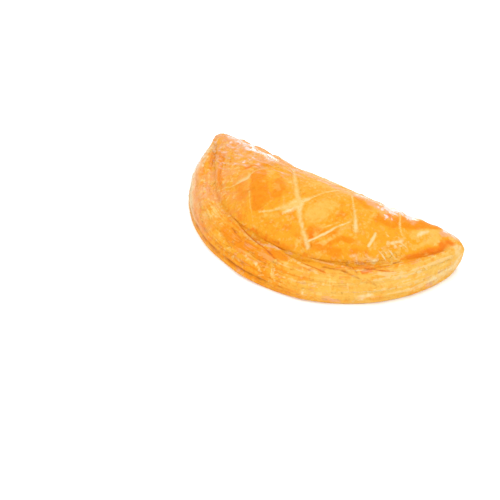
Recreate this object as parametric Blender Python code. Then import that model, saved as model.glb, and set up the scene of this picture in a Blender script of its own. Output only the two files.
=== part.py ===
"""Puff pastry meat empanada: a whole, uncut half-moon turnover, modelled as one closed solid.

The frame is in metres with +Z up. The origin is the middle of the footprint's box, on the
surface that the pastry rests on. +X runs along the straight folded edge, and +Y points from
the curved, sealed rim towards the fold.

Every point of the crust has two coordinates. "depth" runs from 0 on top of the dome to 1 where
the wall meets the base, and "turn" runs once round the footprint from the +X tip, along the
rim first and back along the fold.
"""
import math

import bmesh
import bpy
import numpy as np
from mathutils import Vector, noise

# Whole pastry, before its relief
LENGTH = 0.160
WIDTH = 0.0777
HEIGHT = 0.0308

# Footprint: a superelliptic rim, closed by a slightly bowed fold, with rounded tips
RIM_FULLNESS_ALONG = 1.95
RIM_FULLNESS_LEFT = 2.34
RIM_FULLNESS_RIGHT = 1.95
RIM_SKEW = -0.0007
FOLD_BOW = 0.0028
FOLD_FLATNESS = 8.0
TIP_ROUNDING = 0.0040
OUTLINE_POINTS = 800

# Section through the sealed rim: crease, crest, and a wall that is tucked in at its foot
CREST_INSET = 0.0108
CREST_HEIGHT = 0.0150
CREASE_INSET = 0.0165
CREASE_HEIGHT = 0.0146
CREST_WAVER = 0.0009
CREST_WAVER_SCALE = 38.0
WALL_ROUNDNESS = 1.85
FOOT_HEIGHT = 0.0030
FOOT_UNDERCUT = 0.0014

# Section through the folded edge: a rounded nose above a wall that leans in to the base
NOSE_HEIGHT = 0.0130
NOSE_UNDERCUT = 0.0050
NOSE_ROUNDNESS = 2.2

# Dome over the filling
PEAK_X = -0.0023
PEAK_SETBACK = 0.0295
DOME_SPREAD = 2.18
DOME_CROWN = 2.18
DOME_FLARE = 0.8
FOLD_SPREAD = 1.96
FOLD_CROWN = 1.85

# Tips, where the rim swells and steepens, and runs into the fold in a small puffed nub
TIP_SWELL = 0.0028
TIP_STEEPNESS = 0.80
TIP_SWELL_REACH = 0.022
TIP_LIFT = 0.0030
TIP_REACH = 0.0062
TIP_START_DEPTH = (0.50, 0.60)
RIM_START = 0.0085
RIM_BLEND = 0.0026
EASED_LENGTH = 0.030
EASED_HEIGHT = 0.0125
EASING_ROUNDS = 4
EASING_SHARE = 0.5

# Scoring: two families of shallow cuts, named by where each one crosses the score line
SCORE_LINE_Y = -0.040
FALLING_SCORES = (-0.0295, 0.0017, 0.0367, 0.0647)
RISING_SCORES = (-0.0418, -0.0027, 0.0260, 0.0540)
FALLING_ANGLE = math.radians(-50.0)
RISING_ANGLE = math.radians(49.0)
SCORE_WIDTH = 0.0034
SCORE_DEPTH = 0.0009
SCORE_LIP = 0.0003
SCORE_FADE = (0.44, 0.54)
SCORE_SNAP = 0.0006
PUFF_HEIGHT = 0.0007
PUFF_REACH = 0.006

# Leaves of pastry that show on the rim's wall, and the seam over the bottom sheet
LEAF_PITCH = 0.0043
LEAF_HEIGHT = 0.0006
LEAF_WAVER = 1.6
LEAF_WAVER_SCALE = 32.0
LEAF_START_DEPTH = (0.67, 0.76)
SEAM_HEIGHT = 0.0052
SEAM_DEPTH = 0.0010
SEAM_REACH = 0.0011
SEAM_START_DEPTH = (0.70, 0.80)
SEAM_END_X = (0.002, 0.022)

# Slides: oblique steps where top leaves have slipped down the front of the rim
SLIDE_STARTS_X = (-0.034, -0.010, 0.016)
SLIDE_TOP_DEPTH = 0.56
SLIDE_SLOPE = 4.6
SLIDE_LENGTH = 0.052
SLIDE_RISE = 0.010
SLIDE_FALL = 0.015
SLIDE_HEIGHT = 0.0010
SLIDE_EDGE = 0.020
SLIDE_TAIL = 0.080
SLIDE_FADE = 0.08

# Uneven baking: slow swells all over, and folds where the dough is gathered near the tips
SWELL_HEIGHT = 0.0006
SWELL_SCALE = 55.0
GATHER_PITCH = 0.0130
GATHER_HEIGHT = 0.0005
GATHER_SLANT = 0.8
GATHER_REACH_X = (0.026, 0.038, 0.056, 0.068)
GATHER_BEHIND_Y = (-0.026, -0.014)
GATHER_FADE = (0.62, 0.82)

# Mesh cells, and the depths at which the dome, the rim's shelf and the wall end
CELLS_ALONG = 60
CELLS_ACROSS = 34
SHELF_CELLS = 3
WALL_ROWS = 14
CREASE_DEPTH = 0.60
CREST_DEPTH = 0.70
FOOT_DEPTH = 0.94

# Distance within which a point counts as lying on a plane
TOUCHING = 1e-6

# Baked crust under egg wash
CRUST_COLOR = (0.83, 0.42, 0.10, 1.0)
CRUST_ROUGHNESS = 0.42


def signed_power(values, exponent):
    """Raise the size of each value to the exponent and keep its sign."""
    return np.sign(values) * np.abs(values) ** exponent


def smooth_step(values, start, end):
    """Rise smoothly from 0 at start to 1 at end."""
    share = np.clip((values - start) / (end - start), 0.0, 1.0)
    return share * share * (3.0 - 2.0 * share)


def even_loop(points, count):
    """Space count points evenly round a closed loop."""
    closed = np.vstack([points, points[:1]])
    steps = np.hypot(*np.diff(closed, axis=0).T)
    travelled = np.concatenate([[0.0], np.cumsum(steps)])
    stops = np.linspace(0.0, travelled[-1], count, endpoint=False)
    return np.stack([np.interp(stops, travelled, closed[:, axis]) for axis in (0, 1)], axis=-1)


def round_corners(loop, reach):
    """Average an evenly spaced loop along itself with a bell curve of the given reach."""
    spacing = np.hypot(*(loop[1] - loop[0]))
    waves = np.fft.fftfreq(len(loop)) * 2.0 * np.pi
    bell = np.exp(-((waves * reach / spacing) ** 2) / 2.0)
    return np.real(np.fft.ifft(np.fft.fft(loop, axis=0) * bell[:, None], axis=0))


def footprint():
    """Return the footprint as an evenly spaced loop, and the share of it that is rim."""
    sweep = np.linspace(0.0, math.pi, OUTLINE_POINTS)
    fullness = np.where(np.cos(sweep) < 0.0, RIM_FULLNESS_LEFT, RIM_FULLNESS_RIGHT)
    rim_x = signed_power(np.cos(sweep), 2.0 / RIM_FULLNESS_ALONG) * LENGTH / 2.0
    rim_y = -WIDTH * np.sin(sweep).clip(0.0) ** (2.0 / fullness)
    rim_x += RIM_SKEW * (rim_y / WIDTH) * (1.0 - (2.0 * rim_x / LENGTH) ** 2)
    fold_x = np.linspace(-LENGTH / 2.0, LENGTH / 2.0, OUTLINE_POINTS)[1:-1]
    fold_y = -FOLD_BOW * (1.0 - np.abs(2.0 * fold_x / LENGTH) ** FOLD_FLATNESS)
    rim = np.stack([rim_x, rim_y], axis=-1)
    fold = np.stack([fold_x, fold_y], axis=-1)
    rim_length = np.hypot(*np.diff(rim, axis=0).T).sum()
    fold_length = np.hypot(*np.diff(fold, axis=0).T).sum()
    loop = round_corners(even_loop(np.vstack([rim, fold]), OUTLINE_POINTS), TIP_ROUNDING)
    loop[:, 0] *= LENGTH / np.ptp(loop[:, 0])
    return even_loop(loop, OUTLINE_POINTS), rim_length / (rim_length + fold_length)


def rim_section(depth, radius, crest_height, tuck):
    """Return how far in from the edge, and how high, the crust lies over the sealed rim.

    "tuck" is the share of the crest's distance from the edge that is left, less than 1 near the tips.
    """
    crest_inset, crease_inset = CREST_INSET * tuck, CREASE_INSET * tuck
    over = np.clip(depth / CREASE_DEPTH, 0.0, 1.0) * math.pi / 2.0
    shelf = np.clip((depth - CREASE_DEPTH) / (CREST_DEPTH - CREASE_DEPTH), 0.0, 1.0)
    down = np.clip((depth - CREST_DEPTH) / (FOOT_DEPTH - CREST_DEPTH), 0.0, 1.0) * math.pi / 2.0
    foot = np.clip((depth - FOOT_DEPTH) / (1.0 - FOOT_DEPTH), 0.0, 1.0)
    dome_inset = radius - (radius - crease_inset) * np.sin(over) ** (2.0 / DOME_SPREAD)
    crown = np.cos(over) ** (2.0 / DOME_CROWN)
    dome_share = crown + (np.cos(over) ** 2 - crown) * DOME_FLARE
    dome_height = CREASE_HEIGHT + (HEIGHT - CREASE_HEIGHT) * dome_share
    shelf_inset = crease_inset + (crest_inset - crease_inset) * shelf
    shelf_height = CREASE_HEIGHT + (crest_height - CREASE_HEIGHT) * np.sin(shelf * math.pi / 2.0)
    wall_inset = crest_inset * (1.0 - np.sin(down) ** (2.0 / WALL_ROUNDNESS))
    wall_drop = np.cos(down) ** (2.0 / WALL_ROUNDNESS)
    wall_height = FOOT_HEIGHT + (crest_height - FOOT_HEIGHT) * wall_drop
    wall_inset = wall_inset + FOOT_UNDERCUT * foot ** 2
    wall_height = np.where(depth > FOOT_DEPTH, FOOT_HEIGHT * (1.0 - foot), wall_height)
    on_dome = depth <= CREASE_DEPTH
    on_wall = depth > CREST_DEPTH
    inset = np.where(on_dome, dome_inset, np.where(on_wall, wall_inset, shelf_inset))
    height = np.where(on_dome, dome_height, np.where(on_wall, wall_height, shelf_height))
    return inset, height


def fold_section(depth, radius):
    """Return how far in from the edge, and how high, the crust lies over the fold."""
    over = np.clip(depth / CREST_DEPTH, 0.0, 1.0) * math.pi / 2.0
    under = np.clip((depth - CREST_DEPTH) / (1.0 - CREST_DEPTH), 0.0, 1.0) * math.pi / 2.0
    top_inset = radius * (1.0 - np.sin(over) ** (2.0 / FOLD_SPREAD))
    top_height = NOSE_HEIGHT + (HEIGHT - NOSE_HEIGHT) * np.cos(over) ** (2.0 / FOLD_CROWN)
    low_inset = NOSE_UNDERCUT * (1.0 - np.cos(under) ** (2.0 / NOSE_ROUNDNESS))
    low_height = NOSE_HEIGHT * (1.0 - np.sin(under) ** (2.0 / NOSE_ROUNDNESS))
    on_top = depth <= CREST_DEPTH
    return np.where(on_top, top_inset, low_inset), np.where(on_top, top_height, low_height)


def crest_heights(edge):
    """Height of the rim's crest at points of the footprint: it has risen unevenly."""
    places = [Vector((x, y, 0.0)) * CREST_WAVER_SCALE for x, y in edge]
    return CREST_HEIGHT + CREST_WAVER * np.array([noise.noise(place) for place in places])


def crust_points(depth, turn, loop):
    """Place points of the smooth crust from their depth and turn."""
    stops = np.linspace(0.0, 1.0, len(loop) + 1)
    closed = np.vstack([loop, loop[:1]])
    edge = np.stack([np.interp(turn, stops, closed[:, axis]) for axis in (0, 1)], axis=-1)
    peak = np.array([PEAK_X, -PEAK_SETBACK])
    outward = edge - peak
    radius = np.hypot(*outward.T)
    outward /= radius[:, None]
    tip_gap = np.hypot(np.abs(edge[:, 0]) - LENGTH / 2.0, edge[:, 1])
    near_tip = np.exp(-((tip_gap / TIP_SWELL_REACH) ** 2))
    crest = crest_heights(edge) + TIP_SWELL * near_tip
    rim_inset, rim_height = rim_section(depth, radius, crest, 1.0 - TIP_STEEPNESS * near_tip)
    fold_inset, fold_height = fold_section(depth, radius)
    rim_share = 1.0 / (1.0 + np.exp((edge[:, 1] + RIM_START) / RIM_BLEND))
    inset = fold_inset + (rim_inset - fold_inset) * rim_share
    height = fold_height + (rim_height - fold_height) * rim_share
    on_rim = smooth_step(depth, *TIP_START_DEPTH)
    height_left = 1.0 - np.clip((depth - CREST_DEPTH) / (1.0 - CREST_DEPTH), 0.0, 1.0)
    height = height + TIP_LIFT * np.exp(-((tip_gap / TIP_REACH) ** 2) / 2.0) * on_rim * height_left
    ground = edge - inset[:, None] * outward
    return np.column_stack([ground, height])


def cell_share(position, cells):
    """Stretch a grid position in -1 to 1 so that the crease falls on a line of cells."""
    dome_cells = 1.0 - SHELF_CELLS / (cells / 2.0)
    size = np.interp(np.abs(position), [0.0, dome_cells, 1.0], [0.0, CREASE_DEPTH / CREST_DEPTH, 1.0])
    return np.sign(position) * size


def square_turn(across, up, rim_share):
    """Turn of points on a unit square's edge, clockwise from its upper right corner."""
    right = (1.0 - up) / 2.0
    front = 1.0 + (1.0 - across) / 2.0
    left = 2.0 + (1.0 + up) / 2.0
    back = 3.0 + (1.0 + across) / 2.0
    nearest = np.argmax([across, -up, -across, up], axis=0)
    side = np.choose(nearest, [right, front, left, back])
    end_share = CELLS_ACROSS / (2.0 * CELLS_ACROSS + CELLS_ALONG)
    corners = [0.0, rim_share * end_share, rim_share * (1.0 - end_share), rim_share, 1.0]
    return np.interp(side, range(5), corners)


def crust_cage():
    """Subdivide a cube: a grid on top and below, and rows of cells round its sides."""
    cage = bmesh.new()
    bmesh.ops.create_cube(cage, size=2.0)
    for axis, cells in ((0, CELLS_ALONG), (1, CELLS_ACROSS), (2, WALL_ROWS)):
        edges = [e for e in cage.edges if abs(e.verts[0].co[axis] - e.verts[1].co[axis]) > TOUCHING]
        bmesh.ops.subdivide_edges(cage, edges=edges, cuts=cells - 1, use_grid_fill=True)
    return cage


def shape_crust(cage):
    """Move the cage's points onto the smooth crust, and keep each point's depth."""
    cube = np.array([vert.co for vert in cage.verts])
    across = cell_share(cube[:, 0], CELLS_ALONG)
    up = cell_share(cube[:, 1], CELLS_ACROSS)
    out = np.maximum(np.abs(across), np.abs(up))
    scale = np.where(out > 0.0, out, 1.0)
    loop, rim_share = footprint()
    turn = square_turn(across / scale, up / scale, rim_share)
    wall = (1.0 - cube[:, 2]) / 2.0
    depth = np.where(wall < TOUCHING, out * CREST_DEPTH, CREST_DEPTH + (1.0 - CREST_DEPTH) * wall)
    points = crust_points(depth, turn, loop)
    peak = np.array([PEAK_X, -PEAK_SETBACK, 0.0])
    below = wall > 1.0 - TOUCHING
    points[below] = peak + (points[below] - peak) * out[below, None]
    points[below, 2] = 0.0
    layer = cage.verts.layers.float.new("depth")
    for vert, point, value in zip(cage.verts, points, depth):
        vert.co = point
        vert[layer] = value
    return layer


def ease_tips(cage):
    """Relax the sheared cells where the rim turns into the fold, on top of both tips."""
    middle = LENGTH / 2.0 - EASED_LENGTH
    tips = [vert for vert in cage.verts if abs(vert.co.x) > middle and vert.co.z > EASED_HEIGHT]
    for _ in range(EASING_ROUNDS):
        bmesh.ops.smooth_vert(cage, verts=tips, factor=EASING_SHARE, use_axis_x=True,
                              use_axis_y=True, use_axis_z=True)


def flatten_base(cage):
    """Turn the grid under the pastry into one flat face."""
    below = [face for face in cage.faces if max(vert.co.z for vert in face.verts) < TOUCHING]
    bmesh.ops.dissolve_faces(cage, faces=below, use_verts=True)


def score_lines():
    """Return each score's crossing point and direction in plan."""
    falling = [(x, FALLING_ANGLE) for x in FALLING_SCORES]
    rising = [(x, RISING_ANGLE) for x in RISING_SCORES]
    return falling + rising


def cut_along(cage, layer, place, normal):
    """Give the dome an edge where an upright plane meets it, through any point that is close."""
    cage.normal_update()
    dome = [face for face in cage.faces if max(vert[layer] for vert in face.verts) < SCORE_FADE[1]]
    for vert in {vert for face in dome for vert in face.verts}:
        gap = (vert.co - place).dot(normal)
        if abs(gap) < SCORE_SNAP:
            slide = normal - vert.normal * normal.dot(vert.normal)
            vert.co -= slide * gap / slide.dot(normal)
    edges = {edge for face in dome for edge in face.edges}
    geometry = dome + list(edges)
    bmesh.ops.bisect_plane(cage, geom=geometry, dist=TOUCHING, plane_co=place, plane_no=normal)


def cut_scores(cage, layer):
    """Give each score an edge along its middle and along both its lips."""
    for x, angle in score_lines():
        normal = Vector((-math.sin(angle), math.cos(angle), 0.0))
        for offset in (-SCORE_WIDTH / 2.0, 0.0, SCORE_WIDTH / 2.0):
            cut_along(cage, layer, Vector((x, SCORE_LINE_Y, 0.0)) + normal * offset, normal)


def score_relief(points, depth):
    """Height of the scoring: a groove with low lips, and a puffed pillow between the cuts."""
    relief = np.zeros(len(points))
    nearest = np.full(len(points), np.inf)
    half = SCORE_WIDTH / 2.0
    for x, angle in score_lines():
        aside = (points[:, 1] - SCORE_LINE_Y) * math.cos(angle) - (points[:, 0] - x) * math.sin(angle)
        gap = np.abs(aside)
        relief -= SCORE_DEPTH * np.clip(1.0 - gap / half, 0.0, 1.0)
        relief += SCORE_LIP * np.exp(-(((gap - half) / half) ** 2))
        nearest = np.minimum(nearest, gap)
    pillow = PUFF_HEIGHT * (1.0 - np.exp(-((nearest / PUFF_REACH) ** 2)))
    return (relief + pillow) * (1.0 - smooth_step(depth, *SCORE_FADE))


def rim_only(points):
    """1 on the curved rim, 0 along the fold, where the sheet is whole and smooth."""
    return 1.0 - smooth_step(points[:, 1], -2.0 * RIM_START, -RIM_START)


def leaf_relief(points, depth):
    """Height of the leaves on the wall: wavering ridges that follow the edge."""
    waver = [LEAF_WAVER * noise.noise(Vector(point) * LEAF_WAVER_SCALE) for point in points]
    ridges = np.sin(2.0 * math.pi * points[:, 2] / LEAF_PITCH + np.array(waver))
    on_wall = smooth_step(depth, *LEAF_START_DEPTH)
    return LEAF_HEIGHT * ridges * on_wall * rim_only(points)


def seam_relief(points, depth):
    """Depth of the seam between the top leaves and the bottom sheet, open on the -X side."""
    groove = np.exp(-(((points[:, 2] - SEAM_HEIGHT) / SEAM_REACH) ** 2))
    fading = 1.0 - smooth_step(points[:, 0], *SEAM_END_X)
    on_wall = smooth_step(depth, *SEAM_START_DEPTH)
    return -SEAM_DEPTH * groove * fading * on_wall * rim_only(points)


def slide_relief(points, depth):
    """Height of the slides: each is a low step that drops over the rim as it runs to +X."""
    relief = np.zeros(len(points))
    for start in SLIDE_STARTS_X:
        along = points[:, 0] - start
        below = depth - (SLIDE_TOP_DEPTH + SLIDE_SLOPE * along)
        rise = smooth_step(along, 0.0, SLIDE_RISE)
        fall = 1.0 - smooth_step(along, SLIDE_LENGTH - SLIDE_FALL, SLIDE_LENGTH)
        edge = smooth_step(below, -SLIDE_EDGE, 0.0)
        tail = np.exp(-np.clip(below, 0.0, None) / SLIDE_TAIL)
        relief += SLIDE_HEIGHT * edge * tail * rise * fall
    above_foot = 1.0 - smooth_step(depth, FOOT_DEPTH - SLIDE_FADE, FOOT_DEPTH)
    return relief * rim_only(points) * above_foot


def gather_relief(points, depth):
    """Height of the gathers: short folds across the fold's shoulder, towards both tips."""
    reach = np.abs(points[:, 0] - PEAK_X)
    near_tip = smooth_step(reach, *GATHER_REACH_X[:2]) * (1.0 - smooth_step(reach, *GATHER_REACH_X[2:]))
    behind = smooth_step(points[:, 1], *GATHER_BEHIND_Y) * (1.0 - smooth_step(depth, *GATHER_FADE))
    slanted = reach + GATHER_SLANT * points[:, 1]
    return GATHER_HEIGHT * np.sin(2.0 * math.pi * slanted / GATHER_PITCH) * near_tip * behind


def swell_relief(points):
    """Height of the slow swells of a crust that has risen unevenly."""
    return np.array([SWELL_HEIGHT * noise.noise(Vector(point) * SWELL_SCALE) for point in points])


def raise_relief(cage, layer):
    """Move every point above the base along its normal by the height of the relief."""
    cage.normal_update()
    raised = [vert for vert in cage.verts if vert.co.z > TOUCHING]
    points = np.array([vert.co for vert in raised])
    normals = np.array([vert.normal for vert in raised])
    depth = np.array([vert[layer] for vert in raised])
    relief = score_relief(points, depth) + leaf_relief(points, depth)
    relief += seam_relief(points, depth) + slide_relief(points, depth)
    relief += gather_relief(points, depth) + swell_relief(points)
    relief *= smooth_step(points[:, 2], 0.0, FOOT_HEIGHT)
    for vert, point in zip(raised, points + normals * relief[:, None]):
        vert.co = point


def split_cells(cage):
    """Split every cell above the base into triangles, along its shorter diagonal."""
    above = [face for face in cage.faces if max(vert.co.z for vert in face.verts) > TOUCHING]
    bmesh.ops.triangulate(cage, faces=above, quad_method="SHORT_EDGE", ngon_method="BEAUTY")


def centre_footprint(cage):
    """Stand the pastry on the origin, in the middle of its own footprint."""
    points = np.array([vert.co for vert in cage.verts])
    middle = (points.min(axis=0) + points.max(axis=0)) / 2.0
    bmesh.ops.translate(cage, verts=cage.verts, vec=(-middle[0], -middle[1], -points[:, 2].min()))


def crust_material():
    """Golden baked pastry."""
    material = bpy.data.materials.new("golden_crust")
    material.use_nodes = True
    shader = material.node_tree.nodes["Principled BSDF"]
    shader.inputs["Base Color"].default_value = CRUST_COLOR
    shader.inputs["Roughness"].default_value = CRUST_ROUGHNESS
    shader.inputs["Metallic"].default_value = 0.0
    material.diffuse_color = CRUST_COLOR
    return material


def make_pastry(collection):
    """Build the pastry as one closed, faceted body."""
    cage = crust_cage()
    layer = shape_crust(cage)
    ease_tips(cage)
    flatten_base(cage)
    cut_scores(cage, layer)
    raise_relief(cage, layer)
    split_cells(cage)
    centre_footprint(cage)
    bmesh.ops.recalc_face_normals(cage, faces=cage.faces)
    mesh = bpy.data.meshes.new("pastry")
    cage.to_mesh(mesh)
    cage.free()
    mesh.shade_smooth()
    mesh.materials.append(crust_material())
    pastry = bpy.data.objects.new("pastry", mesh)
    collection.objects.link(pastry)
    return pastry


def main():
    """Clear the scene and build the empanada in a collection of its own."""
    for thing in list(bpy.data.objects):
        bpy.data.objects.remove(thing, do_unlink=True)
    collection = bpy.data.collections.new("empanada")
    bpy.context.scene.collection.children.link(collection)
    make_pastry(collection)


main()
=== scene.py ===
"""Whole puff pastry empanada, dressed for a soft studio picture.

All sizes are in metres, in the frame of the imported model: +X runs along the folded edge, +Y points
from the sealed rim to the fold, +Z is up, and the pastry rests on the floor at the origin. Only the
strokes and scores, which mark places on the crust, are in millimetres.

The crust starts as a smooth half-moon whose points have a depth, 0 on top of the dome and 1 at the
foot of the wall, and a turn, once round the footprint. Geometry Nodes then raise its relief and
paint where it is browned, pale or split, and scatter the loose flakes.
"""
import logging
import math
from dataclasses import dataclass, fields
from enum import Enum
from typing import Any

import bpy
import numpy as np
from mathutils import Matrix, Vector, noise


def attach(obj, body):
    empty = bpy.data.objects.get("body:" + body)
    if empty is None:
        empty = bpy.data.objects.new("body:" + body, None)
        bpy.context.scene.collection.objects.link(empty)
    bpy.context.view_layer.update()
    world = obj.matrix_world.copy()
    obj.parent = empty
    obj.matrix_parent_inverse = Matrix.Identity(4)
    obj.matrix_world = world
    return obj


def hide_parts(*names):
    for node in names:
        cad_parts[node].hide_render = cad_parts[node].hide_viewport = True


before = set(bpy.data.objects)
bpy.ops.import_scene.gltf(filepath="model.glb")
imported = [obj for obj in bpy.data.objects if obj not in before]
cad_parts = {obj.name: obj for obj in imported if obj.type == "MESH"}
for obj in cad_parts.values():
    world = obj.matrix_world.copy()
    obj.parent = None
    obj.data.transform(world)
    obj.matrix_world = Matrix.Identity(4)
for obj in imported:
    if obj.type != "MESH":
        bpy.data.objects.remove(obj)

NODE = "pastry"
BODY = "root"
TAU = 2.0 * math.pi
MM_PER_METRE = 1000.0
# How bright white paint looks in the studio, and what the crust's sheen adds to every colour.
STUDIO_LIGHT = 1.69
CRUST_SHEEN = 0.008
# The least and the most that a paint reflects, and the share of the red seen that it keeps at least.
PAINT_LIMITS = (0.002, 0.9)
RED_FLOOR = 0.59
# What makes the edges of marks uneven: broad and fine waves, so many to the metre, and their seed.
WANDER_WAVES = 130.0
FRAY_WAVES = 480.0
WANDER_SEED = 2
# Ranges over which the left shoulder of the dome sets in, along X and along Y.
SHOULDER_X = (-0.022, -0.002)
SHOULDER_Y = (0.004, 0.014)

log = logging.getLogger("empanada")


def new_object(name: str, data: Any) -> bpy.types.Object:
    """Make an object.

    Args:
        name: its name.
        data: its mesh, light or camera.

    Returns:
        The object, linked to the scene.
    """
    thing = bpy.data.objects.new(name, data)
    bpy.context.scene.collection.objects.link(thing)
    return thing


def sizes_of(thing: Any) -> dict[str, float]:
    """Names and values of a dataclass's float fields, which are the inputs of its tree."""
    return {item.name: getattr(thing, item.name) for item in fields(thing) if item.type is float}


def between(values: np.ndarray, start: float, end: float) -> np.ndarray:
    """Share of the way from start to end, held between 0 and 1."""
    return np.clip((values - start) / (end - start), 0.0, 1.0)


def on_loop(loop: np.ndarray, marks: np.ndarray, stops: np.ndarray) -> np.ndarray:
    """Find places on a closed loop.

    Args:
        loop: its corners.
        marks: how far along each corner lies, and at last the first one again.
        stops: how far along the places lie.

    Returns:
        One row of x and y for each place.
    """
    closed = np.vstack([loop, loop[:1]])
    return np.stack([np.interp(stops, marks, closed[:, axis]) for axis in (0, 1)], axis=-1)


class Tone(Enum):
    """Colours of baked puff pastry and of its painted sheen and highlights, as seen in the studio, as display
    values from 0 to 255.
    """

    GOLD = (252, 174, 50)
    ORANGE = (251, 148, 18)
    AMBER = (249, 130, 30)
    OLIVE = (240, 166, 20)
    STRAW = (252, 196, 92)
    BUTTER = (253, 213, 124)
    CREAM = (253, 228, 170)
    # Rosy peach, partly the pastry's own colour and partly a painted sheen.
    ROSE_AND_SHEEN = (250, 184, 136)
    # Pinkish white, a painted highlight where the glaze shines.
    BLUSH_HIGHLIGHT = (254, 236, 228)
    # Toasted brown, also used as painted shade above the slide steps.
    TOAST_AND_SHADE = (196, 108, 30)
    SPECK = (140, 78, 30)

    @property
    def albedo(self) -> tuple[float, float, float, float]:
        """The paint that looks so in the studio's light, under the crust's sheen.

        Returns:
            Its red, green and blue in linear light, and full alpha.
        """
        shares = [value / 255.0 for value in self.value]
        shown = [s / 12.92 if s <= 0.04045 else ((s + 0.055) / 1.055) ** 2.4 for s in shares]
        low, high = PAINT_LIMITS
        paint = [min(max(s / STUDIO_LIGHT - CRUST_SHEEN, low), high) for s in shown]
        return (max(paint[0], shown[0] * RED_FLOOR), paint[1], paint[2], 1.0)


class Wire:
    """One output socket of a node, on which Python's operators add Math nodes."""

    def __init__(self, bench: "Bench", socket: bpy.types.NodeSocket) -> None:
        """Wrap a socket of a node on the bench."""
        self.bench = bench
        self.socket = socket

    def __add__(self, other: "Number") -> "Wire":
        """Sum of two values."""
        return self.bench.maths("ADD", self, other)

    def __sub__(self, other: "Number") -> "Wire":
        """Difference of two values."""
        return self.bench.maths("SUBTRACT", self, other)

    def __rsub__(self, other: "Number") -> "Wire":
        """A number less this value."""
        return self.bench.maths("SUBTRACT", other, self)

    def __mul__(self, other: "Number") -> "Wire":
        """Product of two values."""
        return self.bench.maths("MULTIPLY", self, other)

    def __truediv__(self, other: "Number") -> "Wire":
        """Quotient of two values."""
        return self.bench.maths("DIVIDE", self, other)

    def __neg__(self) -> "Wire":
        """This value with its sign turned."""
        return self.bench.maths("MULTIPLY", self, -1.0)

    def __abs__(self) -> "Wire":
        """Size of this value without its sign."""
        return self.bench.maths("ABSOLUTE", self)

    __radd__ = __add__
    __rmul__ = __mul__

    def least(self, other: "Number") -> "Wire":
        """The smaller of two values."""
        return self.bench.maths("MINIMUM", self, other)

    def most(self, other: "Number") -> "Wire":
        """The larger of two values."""
        return self.bench.maths("MAXIMUM", self, other)

    def clamped(self) -> "Wire":
        """This value held between 0 and 1."""
        return self.most(0.0).least(1.0)

    def fraction(self) -> "Wire":
        """What is left of this value over the last whole number."""
        return self.bench.maths("FRACT", self)

    def sine(self) -> "Wire":
        """Sine of this value in radians."""
        return self.bench.maths("SINE", self)

    def bell(self, reach: "Number") -> "Wire":
        """Bell curve of this distance: 1 at no distance, and near 0 past twice the reach."""
        share = self / reach
        return self.bench.maths("EXPONENT", -(share * share))

    def rising(self, low: "Number", high: "Number") -> "Wire":
        """Smooth step of this value, from 0 at low to 1 at high."""
        sockets = {"Value": self, "From Min": low, "From Max": high}
        return self.bench.add("ShaderNodeMapRange", {"interpolation_type": "SMOOTHSTEP"}, sockets)

    def falling(self, low: "Number", high: "Number") -> "Wire":
        """Smooth step of this value, from 1 at low to 0 at high."""
        return 1.0 - self.rising(low, high)


Number = Wire | float
Pair = tuple[float, float]
Triple = tuple[float, float, float]


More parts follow.
